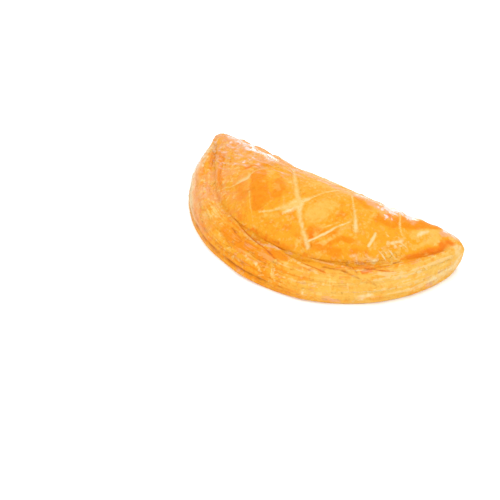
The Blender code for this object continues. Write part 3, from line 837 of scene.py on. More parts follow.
@dataclass(frozen=True)
class Browning:
    """Torn, browned, pale and shiny parts, and painted sheen and highlights, each stored on the mesh by name.
    """

    flaky: tuple[Stroke, ...] = (
        Stroke(((-70, 19, 15.4), (-65.6, 10.5, 14.8), (-56.2, -4.1, 14.8), (-48.2, -13.4, 15.1),
                (-39.9, -25.9, 10.5)), 4.8),
        Stroke(((43, -6.9, 15.4), (50, 0, 16), (55, 10, 17.5)), 5),
        Stroke(((34, -13, 16), (42, -13.5, 15.8)), 3.4, 0.7),
        Stroke(((-30, -31.5, 7.5), (11, -32.4, 13.7), (48, -21, 8)), 4, 0.5),
    )
    orange: tuple[Stroke, ...] = (
        Stroke(((15.8, -16, 19), (25, -14, 19.5), (33, -11.2, 18.5)), 4, 0.9),
        Stroke(((-29.6, 6, 27.7), (-23, -2.1, 26.7), (-18.5, -8.2, 24.9)), 6.2, 1.4),
        Stroke(((-23.9, -24.4, 15), (-15.4, -28.5, 14.8)), 3, 0.8),
        Stroke(((45.5, -3, 20), (38, -6, 19), (44, -11.7, 15.5)), 3, 0.8),
        Stroke(((-15, 3.7, 29.8), (-11.5, -2, 28.5)), 6.8, 0.9),
        Stroke(((-40.3, 8.9, 24.9), (-31.7, 14.2, 28.3)), 2.2, 0.9),
        Stroke(((-15.1, -19, 16.4), (-6.7, -20.9, 15.3), (4.5, -20.8, 16.4), (11, -19.6, 16.9)), 2.6),
        Stroke(((0.6, -30.9, 15.5), (8, -26.6, 15.7)), 4.2, 0.8),
        Stroke(((39.2, 15, 24.7), (49.5, 20.4, 24.5), (58.7, 28.5, 23.5), (63.3, 31.3, 21.7)), 4.8, 1.2),
        Stroke(((21.2, 19, 29.3), (32.3, 16.5, 28.5)), 3.4, 0.7),
        Stroke(((-11.9, -31.1, 14.4), (-20.3, -30, 13.9), (-27.3, -27.7, 14.1)), 4.2),
        Stroke(((17.6, -13, 21.7),), 3.6),
        Stroke(((26.3, -10.6, 21.6), (30.7, -5.2, 23.1), (38.1, -1.6, 20.4)), 2.8, 0.9),
        Stroke(((0.6, 3.8, 30.3),), 1.5, 0.9),
        Stroke(((2.2, -14.1, 23.6), (12.2, -16.5, 21)), 2.8, 0.6),
        Stroke(LEFT_CREST, 2.4, 0.6),
        Stroke(((15, -11.4, 24), (22.3, -8, 24), (25.9, -4.4, 24.7)), 4.5, 0.8),
        Stroke(((-37, -0.9, 23.3), (-29.6, -7.2, 22.8)), 6, 0.5),
        Stroke(LEFT_CREASE, 2.6),
        Stroke(((-72, 22.4, 15.7), (-68, 14.5, 15.4), (-63.3, 7.7, 14.9)), 1.4, 0.9),
        Stroke(((-1, -32.1, 14.8), (5.4, -30.7, 15.9), (11.4, -27, 15.7)), 4, 1.1),
        Stroke(((48, -8.6, 15.2), (56.5, 0, 14.6)), 2.2, 0.8),
        Stroke(((-66.1, 20.3, 18.3), (-62.2, 14.8, 17.9), (-58.4, 9.4, 17.5)), 1.9, 1.1),
        Stroke(((33, -18, 15.4), (18, -21.5, 15.8)), 3.5, 0.6),
    )
    toast: tuple[Stroke, ...] = (
        Stroke(((-29.9, 1.5, 25.8), (-24.2, -5.4, 24.3), (-16.7, -13.3, 22.5)), 1.2, 0.85),
        Stroke(((-39.5, 7.7, 25.3), (-37.6, 10.6, 26.1)), 1.5, 0.9),
        Stroke(((-34.4, 11.7, 27.9), (-31.3, 13.6, 28.8)), 0.9, 0.8),
        Stroke(((-15.1, -19, 16.4), (-9.2, -21, 14.7), (-4.3, -21.6, 15)), 1.7, 0.9),
        Stroke(((60.4, 9.2, 14.5), (63.6, 12.8, 14.3), (67.2, 18.2, 14.8), (70.4, 23.2, 15.8),
                (73, 27.6, 16.9)), 3, 0.8),
        Stroke(((43.7, -11.7, 15.3), (47.9, -12.7, 15.7), (50.4, -10.3, 15.9)), 1.8, 0.8),
        Stroke(((41.1, 18.3, 26.7), (43.2, 20.5, 27.3), (45.6, 23.6, 26.1)), 1.2, 0.9),
        Stroke(((47.5, -13, 15.7), (55.3, -0.2, 14.8), (59.6, 11, 14.7)), 1, 0.8),
        Stroke(((58.7, 31, 23.2), (66, 34, 20.5)), 1.6, 0.6),
        Stroke(((70.6, 25.3, 17), (73.4, 28.8, 16.9), (75, 30.8, 16.4)), 2.6),
        Stroke(((34.7, 20.7, 28.6), (40.8, 21.5, 27.8)), 1.2, 0.6),
        Stroke(((-9.3, -20.7, 15.2), (-2, -20.8, 16)), 1.2, 0.6),
        Stroke(((16.8, -12.2, 21.9),), 2.8),
        Stroke(((27, -10.6, 21.6),), 1.6, 0.45),
        Stroke(((-73.5, 34.5, 19),), 1.3),
    )
    straw: tuple[Stroke, ...] = (
        Stroke(((14.9, 3.5, 29.6), (12, -4, 28)), 8.5, 0.9),
        Stroke(((-12, -14.2, 22.2), (-5, -12.5, 24.1)), 4, 0.7),
        Stroke(((-3.7, -7, 27.4), (2.2, -0.3, 29.2)), 4.8, 0.9),
        Stroke(((57.4, 19.3, 21.7), (61.9, 24.6, 21.7), (66.1, 28.4, 21.2)), 3.6),
        Stroke(((59.9, 14, 17.5), (64.7, 20.5, 18), (68.6, 26.6, 19.1)), 2.4, 0.9),
        Stroke(((33.7, 16.6, 27.5), (30, 14, 27.5)), 4.5, 0.6),
        Stroke(((10, 20, 29.5), (0, 16, 30.3)), 6, 0.6),
        Stroke(((44.3, -25.3, 5.5), (60, -8, 8), (72.5, 13.5, 11)), 9, 0.7),
        Stroke(((73, 26.3, 16.5), (76, 29, 15), (77.5, 27, 11)), 4.4),
    )
    cream: tuple[Stroke, ...] = (
        Stroke(((60, 21.5, 21.2), (64, 26.5, 21)), 1.8, 0.5),
        Stroke(((-74.3, 29.1, 17.6), (-74.1, 23.3, 16.3), (-71.4, 15.4, 15.4), (-69, 8.7, 14.4)), 2, 0.7),
        Stroke(((-30, 24, 28.5), (-19, 24.5, 28)), 3.4, 0.7),
        Stroke(((53.8, 13.2, 19.8), (50.5, 6, 18.8)), 5.2, 0.42),
        # This stroke paints light on the low far end of the wall at +X.
        Stroke(((73.5, 12, 7.5), (76.8, 20, 7)), 5, 0.6),
        Stroke(((-73.8, 19.2, 15.4), (-73.4, 13.2, 11.7), (-72.2, 6.3, 9.7), (-65.8, -5.4, 8.2)), 5),
        Stroke(((78.3, 30.6, 15.3), (78.7, 29.9, 10.5), (78.3, 26.3, 7.4), (77.4, 21, 6)), 4.6, 0.55),
        Stroke(((-1.2, -7.9, 27.3), (0.7, -5.2, 28.4), (2.1, -2, 28.9)), 4.2, 0.6),
        Stroke(((-0.9, -35.6, 10.8),), 2.8, 0.5),
        Stroke(((11, -32.4, 13.7),), 2.6, 0.5),
        Stroke(((37, -9, 16), (48, -3, 16)), 4, 0.5),
        Stroke(((55.3, -16.8, 5.9), (47.4, -22.5, 3)), 2.6, 0.7),
        Stroke(((26.2, -33.8, 5.2),), 2.6, 0.6),
        Stroke(((70, 10, 12.5), (64, -2, 10)), 3.4, 0.35),
    )
    # Rosy colour, mostly a painted sheen on the upper edges and tips, and painted light on the shaded foot.
    rose: tuple[Stroke, ...] = (
        Stroke(((-72, 32.6, 19.7), (-66.3, 32.6, 21.5), (-61.4, 31.6, 22.5)), 4, 0.9),
        Stroke(((-32.9, 23.2, 28.8), (-25, 22.5, 29), (-19, 23.5, 28.3)), 5, 0.9),
        Stroke(((32.9, 19.7, 29), (37, 20.8, 28.3), (40.8, 20.5, 27.8)), 2.2, 0.8),
        Stroke(((73.6, 8.9, 4.1), (75.2, 14.3, 3)), 2.4, 0.6),
        Stroke(LEFT_SHOULDER, 4.6, 0.8),
        Stroke(((-41, 11, 24.8),), 2.2, 0.7),
        Stroke(((-53.8, 21.4, 24.4), (-40.1, 17.5, 27.7), (-28.2, 16.5, 29.7)), 6, 0.45),
        Stroke(((-12.7, 21.8, 28.4), (0.7, 20.6, 29.5), (20.6, 20.5, 29.1), (37.7, 20.3, 27.8)), 3.6, 0.7),
        Stroke(((-77.5, 30.5, 17), (-76.8, 34.3, 18.3)), 3, 0.9),
        Stroke(((69.4, 31, 20.1), (70.1, 33, 19.7), (75.5, 34.2, 18.6)), 3.6, 1.2),
        Stroke(((-8.3, -27.3, 15.6), (1.8, -24.8, 15.4), (13.6, -20.6, 15)), 1.7, 0.8),
        Stroke(((-56.2, -4.1, 14.8), (-51.2, -13.1, 14.8)), 4, 0.5),
        Stroke(((30, 22.5, 28.3), (40, 24, 27.2), (52, 28.5, 25)), 5.2, 0.8),
        Stroke(((-10, -37, 3), (9.8, -36.7, 3), (42.2, -26.4, 3)), 3, 0.8),
    )
    # Where the coat is shinier, and where highlights are painted into the colour as glints.
    glossy: tuple[Stroke, ...] = (
        Stroke(LEFT_SHOULDER, 6),
        Stroke(((-44.9, 13.3, 24.1), (-41.2, 17.2, 26)), 4, 0.6),
        Stroke(((39.2, 21.2, 28.1), (43.2, 25.2, 26.6), (48, 26.2, 26.4), (51.5, 30, 23.8)), 6.6, 1.2),
        Stroke(((-70, 32.8, 20.3), (-60, 31.8, 22.6)), 4.6, 0.9),
        Stroke(((-66.3, 28.9, 21.9), (-58.7, 26.2, 23.5), (-52.9, 22.1, 24.5)), 1.8, 0.7),
        Stroke(((-73.6, 15, 12.5), (-72.2, 6.3, 9)), 4.2, 0.7),
        Stroke(((21.4, 22.6, 29), (25.9, 23.2, 28.5)), 3),
        Stroke(((69, 32.5, 20.3), (71.9, 34, 19), (74.7, 34.2, 18.6)), 4, 0.85),
    )


@dataclass(frozen=True)
class Relief:
    """Sizes of what is raised and sunk on the crust, each of them an input of its tree."""

    score_depth: float = 0.0007
    score_lip: float = 0.0003
    puff_height: float = 0.0007
    puff_reach: float = 0.0060
    leaf_pitch: float = 0.0043
    leaf_height: float = 0.0006
    thin_leaf_pitch: float = 0.0013
    thin_leaf_height: float = 0.0002
    seam_height: float = 0.0052
    seam_depth: float = 0.0010
    seam_reach: float = 0.0011
    slide_height: float = 0.0010
    crack_depth: float = 0.0006
    gather_pitch: float = 0.0130
    gather_height: float = 0.0005
    wrinkle_height: float = 0.0005
    swell_height: float = 0.0006
    blister_height: float = 0.0004
    torn_height: float = 0.00035
    dent_depth: float = 0.0014


class CrustTree(GeometryTree):
    """The tree that raises the crust's relief, with what its parts share."""

    def __init__(self, relief: Relief) -> None:
        """Open the tree.

        Args:
            relief: the sizes that are its inputs.
        """
        super().__init__("crust_relief", sizes_of(relief))
        self.here = self.place()
        self.x, self.y, self.z = self.bench.split(self.here)
        self.depth = self.stored("depth")
        self.flaky = self.stored("flaky").rising(0.0, 0.5)


@dataclass(frozen=True)
class Crust:
    """The pastry's one piece: the half-moon with its scores, leaves, cracks and blisters raised."""

    form: HalfMoon = HalfMoon()
    relief: Relief = Relief()
    cuts: Cuts = Cuts()
    browning: Browning = Browning()
    cut_edges: Pair = (0.0003, 0.00016)
    paint_edges: Pair = (0.0016, 0.0006)
    easing_rounds: int = 90
    eased_length: float = 0.030
    eased_height: float = 0.0125
    eased_crease_reach: float = 0.022
    slide_starts: tuple[float, ...] = (-0.034, -0.010, 0.016)
    slide_top_depth: float = 0.56
    slide_slope: float = 4.6
    slide_length: float = 0.052
    slide_fade: Pair = (0.010, 0.015)
    slide_end: Pair = (0.86, 0.94)
    # Ranges of depth, or of places along X or Y, over which a form starts or ends.
    eased_fade: Pair = (0.004, 0.001)
    eased_crease_x: Pair = (-0.030, -0.008)
    dome_end: Pair = (0.50, 0.62)
    wall_start: Pair = (0.67, 0.76)
    rim_end_y: Pair = (0.0212, 0.0297)
    seam_start: Pair = (0.70, 0.80)
    seam_end_x: Pair = (0.010, 0.030)
    blister_end: Pair = (0.50, 0.62)
    shoulder_end: Pair = (0.60, 0.72)
    gather_start: Pair = (0.026, 0.038)
    gather_end: Pair = (0.056, 0.068)
    gather_start_y: Pair = (0.0122, 0.0242)
    gather_end_depth: Pair = (0.62, 0.82)

    def eased(self, tree: CrustTree) -> Wire:
        """Relax the sheared cells on top of both tips, and parts of the crease.

        Args:
            tree: the tree that grows the crust.

        Returns:
            The relaxed mesh.
        """
        bench = tree.bench
        start, low = self.form.length / 2.0 - self.eased_length, self.eased_height
        fade_along, fade_up = self.eased_fade
        near = abs(tree.x).rising(start, start + fade_along) * tree.z.rising(low, low + fade_up)
        crease = (tree.depth - self.form.crease_depth).bell(self.eased_crease_reach)
        patchy = bench.cloud(tree.here, 45.0, 1.0, shift=(1.0, 8.0, 3.0)).rising(-0.5, 0.5) * 0.25
        weight = (near * 0.8).most(crease * patchy.most(tree.x.falling(*self.eased_crease_x) * 0.8))
        rounds = {"Value": tree.here, "Iterations": self.easing_rounds, "Weight": weight}
        relaxed = bench.add("GeometryNodeBlurAttribute", {"data_type": "FLOAT_VECTOR"}, rounds)
        moved = {"Geometry": tree.geometry, "Position": relaxed}
        return bench.add("GeometryNodeSetPosition", None, moved)

    def mark(self, blank: bpy.types.Object) -> None:
        """Store on the smooth crust where its scores, cracks, torn parts and paints lie.

        Args:
            blank: the smooth crust.
        """
        mesh = blank.data
        points = np.empty(len(mesh.vertices) * 3, np.float32)
        mesh.vertices.foreach_get("co", points)
        points = points.reshape(-1, 3)
        fine = Marks(points, *self.cut_edges)
        loose = Marks(points, *self.paint_edges)
        scores = self.cuts.scores
        gaps, halves = (np.array(part) for part in zip(*[fine.score_gap(score) for score in scores]))
        nearest = np.argmin(gaps / halves, axis=0)
        marks = {"score_share": np.min(gaps / halves, axis=0), "score_gap": np.min(gaps, axis=0)}
        marks["score_pale"] = np.array([score.paleness for score in scores])[nearest]
        marks["score_half"] = np.take_along_axis(halves, nearest[None], axis=0)[0]
        marks["crack"] = fine.painted(self.cuts.cracks)
        marks["dent"] = fine.painted(self.cuts.dents)
        for paint in fields(self.browning):
            marks[paint.name] = loose.painted(getattr(self.browning, paint.name))
        for name, values in marks.items():
            mesh.attributes.new(name, "FLOAT", "POINT").data.foreach_set("value", values.astype(np.float32))

    def scoring(self, tree: CrustTree) -> tuple[Wire, Wire]:
        """Cut the scores: flat-bottomed channels with low lips, and puffed pillows between them.

        Args:
            tree: the tree that grows the crust.

        Returns:
            The height of the relief, and how open the crust is.
        """
        bench = tree.bench
        on_dome = tree.depth.falling(*self.dome_end)
        ragged = bench.cloud(tree.here, 300.0, 3.0) * 0.16 + bench.cloud(tree.here, 90.0, 1.0) * 0.16
        share = tree.stored("score_share") + ragged
        opened = share.falling(0.2, 1.45) * tree.stored("score_pale")
        lips = (share - 1.5).bell(0.45)
        puffed = 1.0 - tree.stored("score_gap").bell(tree["puff_reach"])
        deep = tree.stored("score_half").rising(0.0002, 0.0018) * 0.85 + 0.15
        dip = share.falling(0.1, 1.5) * tree["score_depth"] * deep
        relief = lips * deep * tree["score_lip"] + puffed * tree["puff_height"] - dip
        return relief * on_dome, opened * on_dome

    def leaves(self, tree: CrustTree, on_wall: Wire) -> tuple[Wire, Wire]:
        """Step the wall in leaves that follow the edge, some of them broken off.

        Args:
            tree: the tree that grows the crust.
            on_wall: 1 on the wall of the rim.

        Returns:
            The height of the relief, and where one leaf ends above the next.
        """
        bench = tree.bench
        slow = bench.cloud(tree.here, 32.0, 0.0)
        quick = bench.cloud(tree.here, 95.0, 2.0, shift=(1.7, 4.1, 2.3))
        phase = tree.z / tree["leaf_pitch"] + slow * 0.26 + quick * 0.10
        rim_place = tree.stored_place("rim_place")
        _, _, down = bench.split(rim_place)
        thin_phase = down / tree["thin_leaf_pitch"] + slow * 1.1 + quick * 0.5
        broken = bench.cloud(rim_place, (50.0, 50.0, 240.0), 2.0, shift=(8.0, 1.0, 6.0)).rising(-0.5, 0.5)
        saw, thin_saw = phase.fraction(), thin_phase.fraction()
        thick = (saw - 0.5 + (phase * TAU).sine() * 0.5) * tree["leaf_height"] * 1.3
        thin = (thin_saw - 0.5) * 2.0 * tree["thin_leaf_height"] * broken
        lines = saw.falling(0.0, 0.16).most(thin_saw.falling(0.0, 0.30) * broken * 0.8)
        return (thick + thin) * on_wall, lines * on_wall * (0.4 + broken * 0.6)

    def slides(self, tree: CrustTree, rim: Wire) -> tuple[Wire, Wire, Wire]:
        """Lay low steps over the rim, which drop towards its edge as they run to +X.

        Args:
            tree: the tree that grows the crust.
            rim: 1 on the rim and 0 along the fold.

        Returns:
            The height of the relief, the line above each step for painted shade, and its crown for painted
            light.
        """
        bench = tree.bench
        depth = tree.depth + bench.cloud(tree.here, 120.0, 2.0) * 0.006
        fade_in, fade_out = self.slide_fade
        total = line = lip = None
        for start in self.slide_starts:
            along = tree.x - start
            below = depth - (along * self.slide_slope + self.slide_top_depth)
            ends = along.rising(0.0, fade_in) * along.falling(self.slide_length - fade_out, self.slide_length)
            step = below.rising(-0.016, 0.0) * bench.maths("EXPONENT", -(below.most(0.0)) / 0.08) * ends
            edge, crown = (below + 0.016).bell(0.011) * ends, (below - 0.014).bell(0.014) * ends
            total = step if total is None else total + step
            line = edge if line is None else line.most(edge)
            lip = crown if lip is None else lip.most(crown)
        low = rim * depth.falling(*self.slide_end)
        return total * low * tree["slide_height"], line * low, lip * low

    def roughening(self, tree: CrustTree) -> Wire:
        """Raise what the heat left uneven: swells, gathers, wrinkles, blisters and torn leaves.

        Args:
            tree: the tree that grows the crust.

        Returns:
            The height of the relief.
        """
        bench, place, x, y, depth = tree.bench, tree.here, tree.x, tree.y, tree.depth
        reach = abs(x - self.form.peak_x)
        near_tip = reach.rising(*self.gather_start) * reach.falling(*self.gather_end)
        behind = y.rising(*self.gather_start_y) * depth.falling(*self.gather_end_depth)
        slanted = (reach + y * 0.8) * TAU / tree["gather_pitch"]
        gathers = slanted.sine() * near_tip * behind * tree["gather_height"]
        shoulder = x.falling(*SHOULDER_X) * y.rising(*SHOULDER_Y) * depth.falling(*self.shoulder_end)
        creases = bench.cloud(place, (75.0, 330.0, 330.0), 3.0, 0.5, (2.0, 9.0, 4.0))
        wrinkles = (abs(creases) * 1.6 - 0.8) * tree["wrinkle_height"] * (0.25 + shoulder)
        cells = bench.vector("ADD", place, bench.vector("MULTIPLY", bench.cloud(place, 150.0), (0.0012,) * 3))
        bubble = bench.add("ShaderNodeTexVoronoi", {"feature": "F1"}, {"Vector": cells, "Scale": 165.0})
        chosen = bench.cloud(place, 75.0, 1.0, shift=(5.0, 5.0, 1.0)).rising(0.0, 0.7)
        chosen = chosen * depth.falling(*self.blister_end)
        blisters = (1.0 - bubble * bubble * 4.0).most(0.0) * chosen * tree["blister_height"]
        layers = bench.cloud(place, (105.0, 105.0, 190.0), 3.0, 0.4, (7.0, 3.0, 9.0)) * 1.4
        terrace = bench.maths("FLOOR", layers) + layers.fraction().rising(0.8, 1.0)
        torn = terrace * tree["torn_height"] * (tree.flaky + 0.12)
        swells = bench.cloud(place, 55.0, 0.0, shift=(4.0, 4.0, 4.0)) * tree["swell_height"]
        return gathers + wrinkles + blisters + torn + swells

    def tree(self, material: bpy.types.Material) -> CrustTree:
        """Raise the crust's relief, and store where it is open, split and cracked.

        Args:
            material: the crust's finish.

        Returns:
            The tree that does so.
        """
        tree = CrustTree(self.relief)
        bench = tree.bench
        geometry = self.eased(tree)
        rim = tree.y.falling(*self.rim_end_y)
        scoring, opened = self.scoring(tree)
        leaf_relief, split = self.leaves(tree, tree.depth.rising(*self.wall_start) * rim)
        seam = ((tree.z - tree["seam_height"]) / tree["seam_reach"]).bell(1.0)
        torn = bench.cloud(tree.here, (60.0, 60.0, 20.0), 2.0, shift=(3.0, 3.0, 8.0)).rising(-0.9, 0.1)
        seam = seam * tree.x.falling(*self.seam_end_x) * tree.depth.rising(*self.seam_start) * rim * torn
        slide_relief, slid, lip = self.slides(tree, rim)
        relief = scoring + leaf_relief + slide_relief + self.roughening(tree)
        crack = tree.stored("crack").rising(0.0, 0.8) * tree["crack_depth"]
        dent = tree.stored("dent").rising(0.0, 0.9) * tree["dent_depth"]
        relief = relief - crack - seam * tree["seam_depth"] - dent
        relief = relief * tree.z.rising(0.0, self.form.foot_height)
        # The masks of the slide steps carry painted shade above each step and painted light on the crown
        # below it.
        masks = {"opened": opened, "split": split, "seam": seam, "rim": rim, "slid": slid, "lip": lip}
        for name, mask in masks.items():
            geometry = tree.store(geometry, name, mask)
        offset = bench.vector("MULTIPLY", bench.add("GeometryNodeInputNormal"), relief)
        raised = bench.add("GeometryNodeSetPosition", None, {"Geometry": geometry, "Offset": offset})
        tree.close(raised, material)
        return tree

    def build(self, material: bpy.types.Material) -> bpy.types.Object:
        """Make the crust and stand it on the origin, in the middle of its own footprint.

        Args:
            material: its finish.

        Returns:
            The piece.
        """
        blank = self.form.build("blank")
        self.mark(blank)
        crust = self.tree(material).grow(blank, "crust")
        corners = np.array(crust.bound_box)
        middle = (corners.min(axis=0) + corners.max(axis=0)) / 2.0
        crust.data.transform(Matrix.Translation((-middle[0], -middle[1], -corners[:, 2].min())))
        return crust


@dataclass(frozen=True)
class Chip:
    """Sizes of a loose flake and how thickly flakes lie, each of them an input of their tree."""

    length: float = 0.0030
    width: float = 0.0019
    thickness: float = 0.00016
    bend: float = 90.0
    ragged: float = 0.0005
    tilt: float = 0.22
    sink: float = 0.00010
    density: float = 260000.0


@dataclass(frozen=True)
class Flakes:
    """Loose flakes of leaf on the torn parts of the rim, each a thin bent chip of dough."""

    chip: Chip = Chip()
    least_scale: Triple = (0.5, 0.5, 0.8)
    most_scale: Triple = (1.25, 1.2, 1.2)
    seed: int = 11

    def plate(self, tree: GeometryTree) -> Wire:
        """One flake: a thin plate with rounded corners, bent down at both ends.

        Args:
            tree: the tree that scatters the flakes.

        Returns:
            Its mesh.
        """
        bench = tree.bench
        box = {"Size": (2.0, 2.0, 1.0), "Vertices X": 5, "Vertices Y": 4, "Vertices Z": 2}
        plate = bench.add("GeometryNodeMeshCube", None, box)
        x, y, z = bench.split(tree.place())
        round_x = x * bench.maths("SQRT", 1.0 - y * y * 0.5) * tree["length"] * 0.5
        round_y = y * bench.maths("SQRT", 1.0 - x * x * 0.5) * tree["width"] * 0.5
        bent = z * tree["thickness"] - round_x * round_x * tree["bend"] - tree["sink"]
        shaped = {"Geometry": plate, "Position": bench.join(round_x, round_y, bent)}
        return bench.add("GeometryNodeSetPosition", None, shaped)

    def scattered(self, tree: GeometryTree) -> Wire:
        """Put flakes over the crust's torn parts, each with a size and a turn of its own.

        Args:
            tree: the tree that scatters the flakes.

        Returns:
            The flakes as instances.
        """
        bench = tree.bench
        patchy = bench.cloud(tree.place(), 160.0, 2.0).rising(-0.3, 0.6)
        thick = tree.stored("flaky").rising(0.05, 0.6) * patchy * tree["density"]
        spread = bench.node("GeometryNodeDistributePointsOnFaces", {"distribute_method": "RANDOM"},
                            {"Mesh": tree.geometry, "Density": thick, "Seed": self.seed})
        sizes = {0: self.least_scale, 1: self.most_scale, "Seed": self.seed + 1}
        scale = bench.add("FunctionNodeRandomValue", {"data_type": "FLOAT_VECTOR"}, sizes)
        put = {"Points": Wire(bench, spread.outputs["Points"]), "Instance": self.plate(tree),
               "Rotation": Wire(bench, spread.outputs["Rotation"]), "Scale": scale}
        chips = bench.add("GeometryNodeInstanceOnPoints", None, put)
        tilt = tree["tilt"]
        turns = {0: bench.join(-tilt, -tilt, 0.0), 1: bench.join(tilt, tilt, TAU), "Seed": self.seed + 2}
        spin = bench.add("FunctionNodeRandomValue", {"data_type": "FLOAT_VECTOR"}, turns)
        return bench.add("GeometryNodeRotateInstances", None, {"Instances": chips, "Rotation": spin})

    def build(self, crust: bpy.types.Object, material: bpy.types.Material) -> bpy.types.Object:
        """Scatter the flakes over the crust and fray their edges.

        Args:
            crust: the piece that they lie on.
            material: their finish.

        Returns:
            The flakes as one piece.
        """
        tree = GeometryTree("loose_flakes", sizes_of(self.chip))
        bench = tree.bench
        real = bench.add("GeometryNodeRealizeInstances", None, {"Geometry": self.scattered(tree)})
        there = tree.place()
        jolts = [bench.cloud(there, 420.0, 1.0, shift=(float(k), 2.0 * k, 3.0)) * 0.5 for k in range(2)]
        jog = bench.vector("MULTIPLY", bench.join(jolts[0], jolts[1], 0.0), tree["ragged"])
        torn = bench.add("GeometryNodeSetPosition", None, {"Geometry": real, "Offset": jog})
        tree.close(torn, material)
        return tree.grow(new_object("flake_bed", crust.data.copy()), "flakes")


class Material:
    """A new Principled material, its bench and its shader's sockets."""

    def __init__(self, name: str, constants: dict[str, Any]) -> None:
        """Open a material.

        Args:
            name: its name.
            constants: the shader's values that are the same all over, by socket.
        """
        self.data = bpy.data.materials.new(name)
        self.data.use_nodes = True
        self.bench = Bench(self.data.node_tree)
        self.shader = self.data.node_tree.nodes["Principled BSDF"]
        for label, value in constants.items():
            self.shader.inputs[label].default_value = value

    def place(self) -> Wire:
        """Object coordinates."""
        return self.bench.add("ShaderNodeTexCoord", output="Object")

    def stored(self, name: str) -> Wire:
        """Number stored on the mesh."""
        return self.bench.add("ShaderNodeAttribute", {"attribute_name": name}, output="Fac")

    def stored_place(self, name: str) -> Wire:
        """Place stored on the mesh."""
        return self.bench.add("ShaderNodeAttribute", {"attribute_name": name}, output="Vector")

    def feed(self, label: str, wire: Wire) -> None:
        """Link a wire to one of the shader's inputs."""
        self.data.node_tree.links.new(wire.socket, self.shader.inputs[label])

    def emboss(self, height: Wire, distance: float, strength: float) -> None:
        """Give the shader fine relief that the mesh is too coarse for."""
        sockets = {"Height": height, "Distance": distance, "Strength": strength}
        self.feed("Normal", self.bench.add("ShaderNodeBump", None, sockets))


class CrustPaint(Material):
    """The crust's material: colours laid one over the other, and the patterns that they share."""

    def __init__(self, name: str, constants: dict[str, Any]) -> None:
        """Open the material, golden all over.

        Args:
            name: its name.
            constants: the shader's values that are the same all over, by socket.
        """
        super().__init__(name, constants)
        bench, place, ring = self.bench, self.place(), self.stored_place("rim_place")
        self.here, self.ring = place, ring
        self.x, self.y, self.z = bench.split(place)
        self.broad = bench.cloud(place, 62.0, 2.0, 0.5, (1.0, 2.0, 3.0))
        self.mottle = bench.cloud(place, 190.0, 3.0, 0.6, (4.0, 1.0, 7.0))
        self.fine = bench.cloud(place, 620.0, 3.0, 0.3, (2.0, 6.0, 5.0))
        self.dabs = bench.patches(place, 260.0, (0.3, 0.1, 0.2))
        self.small_dabs = bench.patches(place, 560.0, (0.7, 0.4, 0.6))
        self.layers = bench.cloud(ring, (30.0, 30.0, 420.0), 2.0, 0.25, (2.0, 5.0, 1.0))
        self.thin_layers = bench.cloud(ring, (70.0, 70.0, 1100.0), 2.0, 0.2, (6.0, 3.0, 8.0))
        self.depth = self.stored("depth")
        self.on_rim = self.depth.rising(0.58, 0.66) * self.stored("rim")
        self.torn_edge = self.mottle * 0.14 + self.fine * 0.08 + self.dabs * 0.10 + self.small_dabs * 0.10
        self.fleck = self.fine * 0.6 + self.small_dabs * 0.7 + self.mottle * 0.35
        ragged = self.depth + self.broad * 0.02 + self.mottle * 0.01
        self.ragged_depth = ragged - self.x.falling(-0.05, 0.0) * 0.09
        self.colour: Any = Tone.GOLD.albedo

    def coat(self, share: Number, tone: Tone) -> None:
        """Lay one more colour over those that are there."""
        self.colour = self.bench.mix(share, self.colour, tone.albedo)


